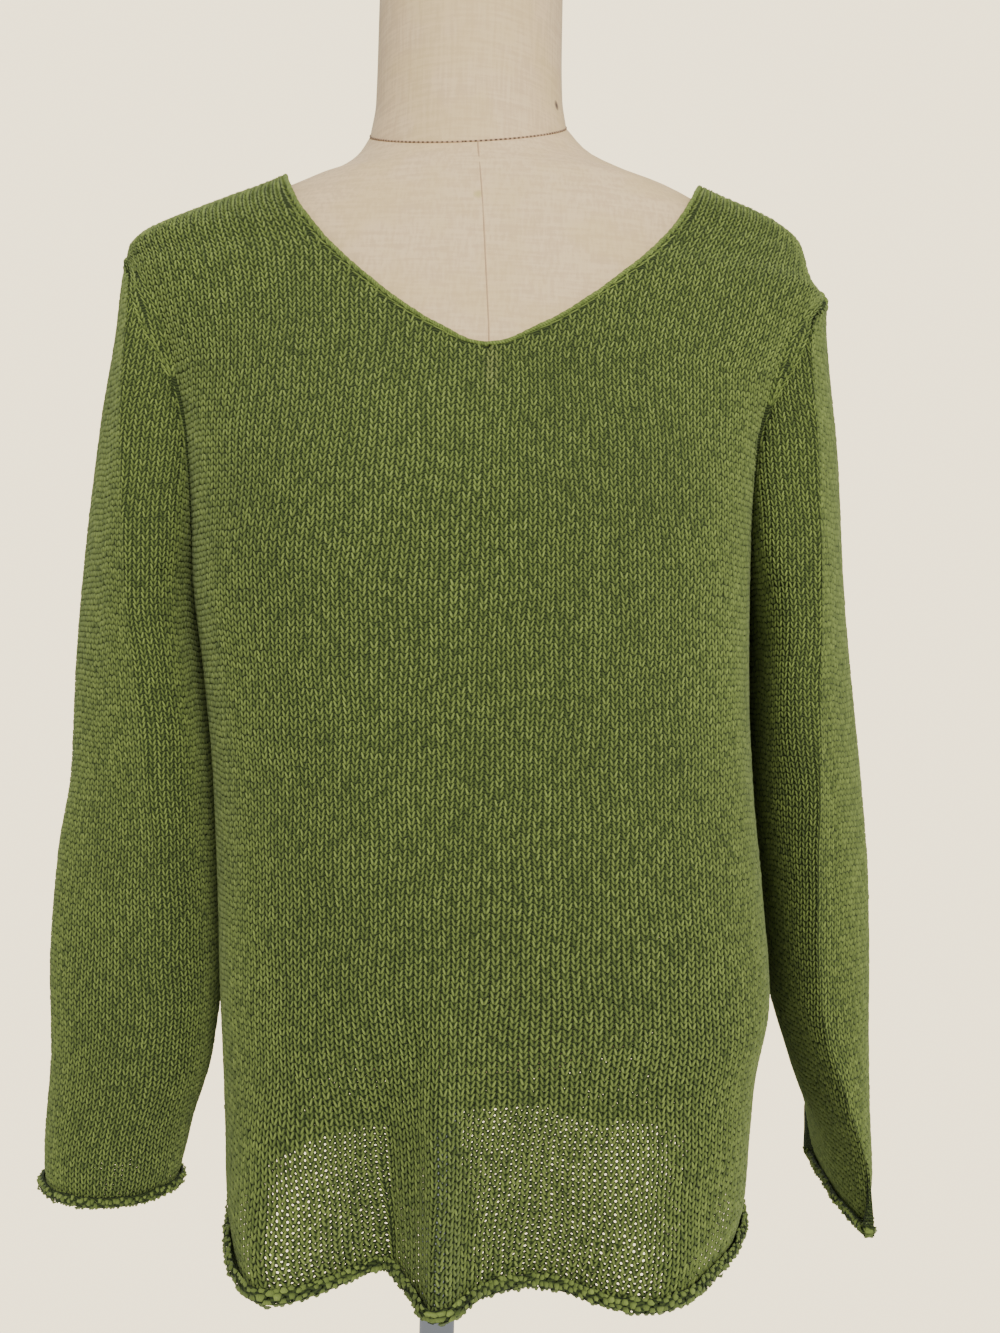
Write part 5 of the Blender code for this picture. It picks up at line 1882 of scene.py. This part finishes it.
@dataclass
class Stand:
    """The cap on the neck, and the plate, pole, socket and base under the torso."""

    finish: StandFinish
    sides: int = 96

    def turned(self, name: str, profile: Sequence[tuple[float, float]], replaced: str,
               material: bpy.types.Material) -> bpy.types.Object:
        """A piece turned on the pole's axis.

        Args:
            name: The piece's name.
            profile: Radii and heights from the bottom's middle to the top's.
            replaced: The node that it stands for.
            material: Its finish.

        Returns:
            The piece.
        """
        line = np.array(profile)
        turn = np.linspace(0.0, 2 * math.pi, self.sides + 1)
        rings = np.stack(np.broadcast_arrays(
            line[:, :1] * np.cos(turn)[None], line[:, :1] * np.sin(turn)[None],
            line[:, 1:2] + 0 * turn[None]), axis=-1)
        mesh = mesh_from_arrays(name, rings.reshape(-1, 3), grid_faces(len(line), self.sides + 1))
        merge_doubles(mesh, MESH_REACH)
        mesh.set_sharp_from_angle(angle=math.radians(35.0))
        piece = place_piece(mesh, material)
        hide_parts(replaced)
        return piece

    @staticmethod
    def rounded(radius: float, low: float, high: float, rim: float,
                steps: int = 6) -> list[tuple[float, float]]:
        """A round piece's profile with rims rounded by quarter circles."""
        quarter = np.linspace(0.0, math.pi / 2, steps)
        bottom = [(radius - rim + rim * math.sin(a), low + rim - rim * math.cos(a))
                  for a in quarter]
        top = [(radius - rim + rim * math.cos(a), high - rim + rim * math.sin(a))
               for a in quarter]
        return [(0.0, low), *bottom, *top, (0.0, high)]

    def build(self) -> None:
        """Make the five pieces."""
        wood, chrome = self.finish.varnished_wood(), self.finish.polished_chrome()
        paint = self.finish.satin_paint()
        for name, node, rim, material, slot in (
                ("turned_cap", "neck_cap", 0.0035, wood, "cap"),
                ("plate", "form_plate", 0.0014, paint, "paint"),
                ("chrome_pole", "pole", 0.0006, chrome, "chrome"),
                ("socket", "base_socket", 0.0018, chrome, "chrome"),
                ("round_base", "base", 0.0040, paint, "paint")):
            low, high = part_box(node)
            profile = self.rounded((high[0] - low[0]) / 2, low[2], high[2], rim)
            self.turned(name, profile, node, material)


# ---- the studio ----------------------------------------------------------------------------------

@dataclass
class Studio:
    """A pale floor, soft light and the camera."""

    camera_at: tuple[float, float, float] = (0.029, -0.72, 1.07)
    sensor: float = 36.0
    lens: float = 1140.0 / 1333.0 * sensor
    roll: float = math.radians(1.5)
    floor_sides: int = 96
    glow: tuple[Colour, float] = ((0.80, 0.785, 0.765, 1.0), 0.66)  # the light from all round
    wall: tuple[Colour, float] = ((1.0, 0.850, 0.560, 1.0), 3.0)  # what shows behind the part

    def floor(self) -> None:
        """A round floor with a soft, even tint."""
        bench = NodeBench("pale_floor")
        cloud = bench.noise(bench.where(), 1.3, 3.0)
        colour = bench.mix(cloud, (0.80, 0.785, 0.76, 1.0), (0.86, 0.85, 0.83, 1.0))
        material = bench.wear(Base_Color=colour, Roughness=0.75)
        turn = np.linspace(0.0, 2 * math.pi, self.floor_sides + 1)[:-1]
        rim = np.stack((np.cos(turn), np.sin(turn), 0.0 * turn - 0.0002), axis=1)
        mesh = bpy.data.meshes.new("floor")
        mesh.from_pydata([tuple(p) for p in rim], [], [tuple(range(self.floor_sides))])
        mesh.materials.append(material)
        floor = bpy.data.objects.new("floor", mesh)
        bpy.context.scene.collection.objects.link(floor)

    @staticmethod
    def lamp(name: str, at: tuple[float, float, float], towards: tuple[float, float, float],
             size: float, power: float, colour: tuple[float, float, float]) -> None:
        """A large soft lamp at a place, turned towards another."""
        light = bpy.data.lights.new(name, "AREA")
        light.shape = "DISK"
        light.size = size
        light.energy = power
        light.color = colour
        lamp = bpy.data.objects.new(name, light)
        lamp.location = at
        run = Vector(towards) - Vector(at)
        lamp.rotation_euler = run.to_track_quat("-Z", "Y").to_euler()
        bpy.context.scene.collection.objects.link(lamp)

    def build(self) -> None:
        """Make the floor, the lamps, the sky and the camera."""
        self.floor()
        middle = (0.0, 0.0, 1.05)
        self.lamp("window", (0.6, -2.5, 2.3), middle, 1.0, 70.0, (1.0, 0.985, 0.96))
        self.lamp("behind", (-0.6, 2.6, 2.2), middle, 2.4, 45.0, (1.0, 0.99, 0.98))
        world = bpy.data.worlds.new("pale_room")
        world.use_nodes = True
        tree = world.node_tree
        glow = tree.nodes["Background"]
        wall = tree.nodes.new("ShaderNodeBackground")
        for node, (colour, strength) in ((glow, self.glow), (wall, self.wall)):
            node.inputs["Color"].default_value = colour
            node.inputs["Strength"].default_value = strength
        seen = tree.nodes.new("ShaderNodeLightPath")
        both = tree.nodes.new("ShaderNodeMixShader")
        tree.links.new(seen.outputs["Is Camera Ray"], both.inputs[0])
        tree.links.new(glow.outputs[0], both.inputs[1])
        tree.links.new(wall.outputs[0], both.inputs[2])
        tree.links.new(both.outputs[0], tree.nodes["World Output"].inputs["Surface"])
        bpy.context.scene.world = world
        lens = bpy.data.cameras.new("camera")
        lens.lens = self.lens
        lens.sensor_width = self.sensor
        lens.sensor_fit = "AUTO"
        camera = bpy.data.objects.new("camera", lens)
        bpy.context.scene.collection.objects.link(camera)
        camera.matrix_world = (Matrix.Translation(self.camera_at)
                               @ Matrix.Rotation(math.radians(90.0), 4, "X")
                               @ Matrix.Rotation(self.roll, 4, "Z"))
        bpy.context.scene.camera = camera


def main() -> None:
    """Build the sweater, the form, the stand and the studio."""
    logging.basicConfig(level=logging.INFO, format="%(name)s: %(message)s")
    yarn = YarnFinish()
    body = BodyShape()
    front = BodyPanel("front", Face.FRONT, body, yarn, seed=11)
    back = BodyPanel("back", Face.BACK, body, yarn, hem_sway=0.0022, seed=57)
    for panel in (front, back):
        panel.build()
    for name, side, rows in (("sleeve_right", -1, SLEEVE_RIGHT), ("sleeve_left", 1, SLEEVE_LEFT)):
        Sleeve(name, side, SizeTable(SLEEVE_COLUMNS, rows), yarn, seed=31 + side).build(
            (front, back))
    for name, panel in (("neck_edge_front", front), ("neck_edge_back", back)):
        line = panel.neck_line()
        along = courses_along(line, 1.0)
        radii = (0.0011 + 0.0003 * np.abs(np.sin(along / 0.0046 * math.pi))
                 + 0.0002 * soft_noise(along / 0.05, 5))
        # The neck edge's cord is painted with some shade.
        place_piece(tube_mesh(name, line, radii, 10), yarn.cord("edge", 0.35))
    DressForm(LinenFinish()).build()
    Stand(StandFinish()).build()
    Studio().build()


if __name__ == "__main__":
    main()
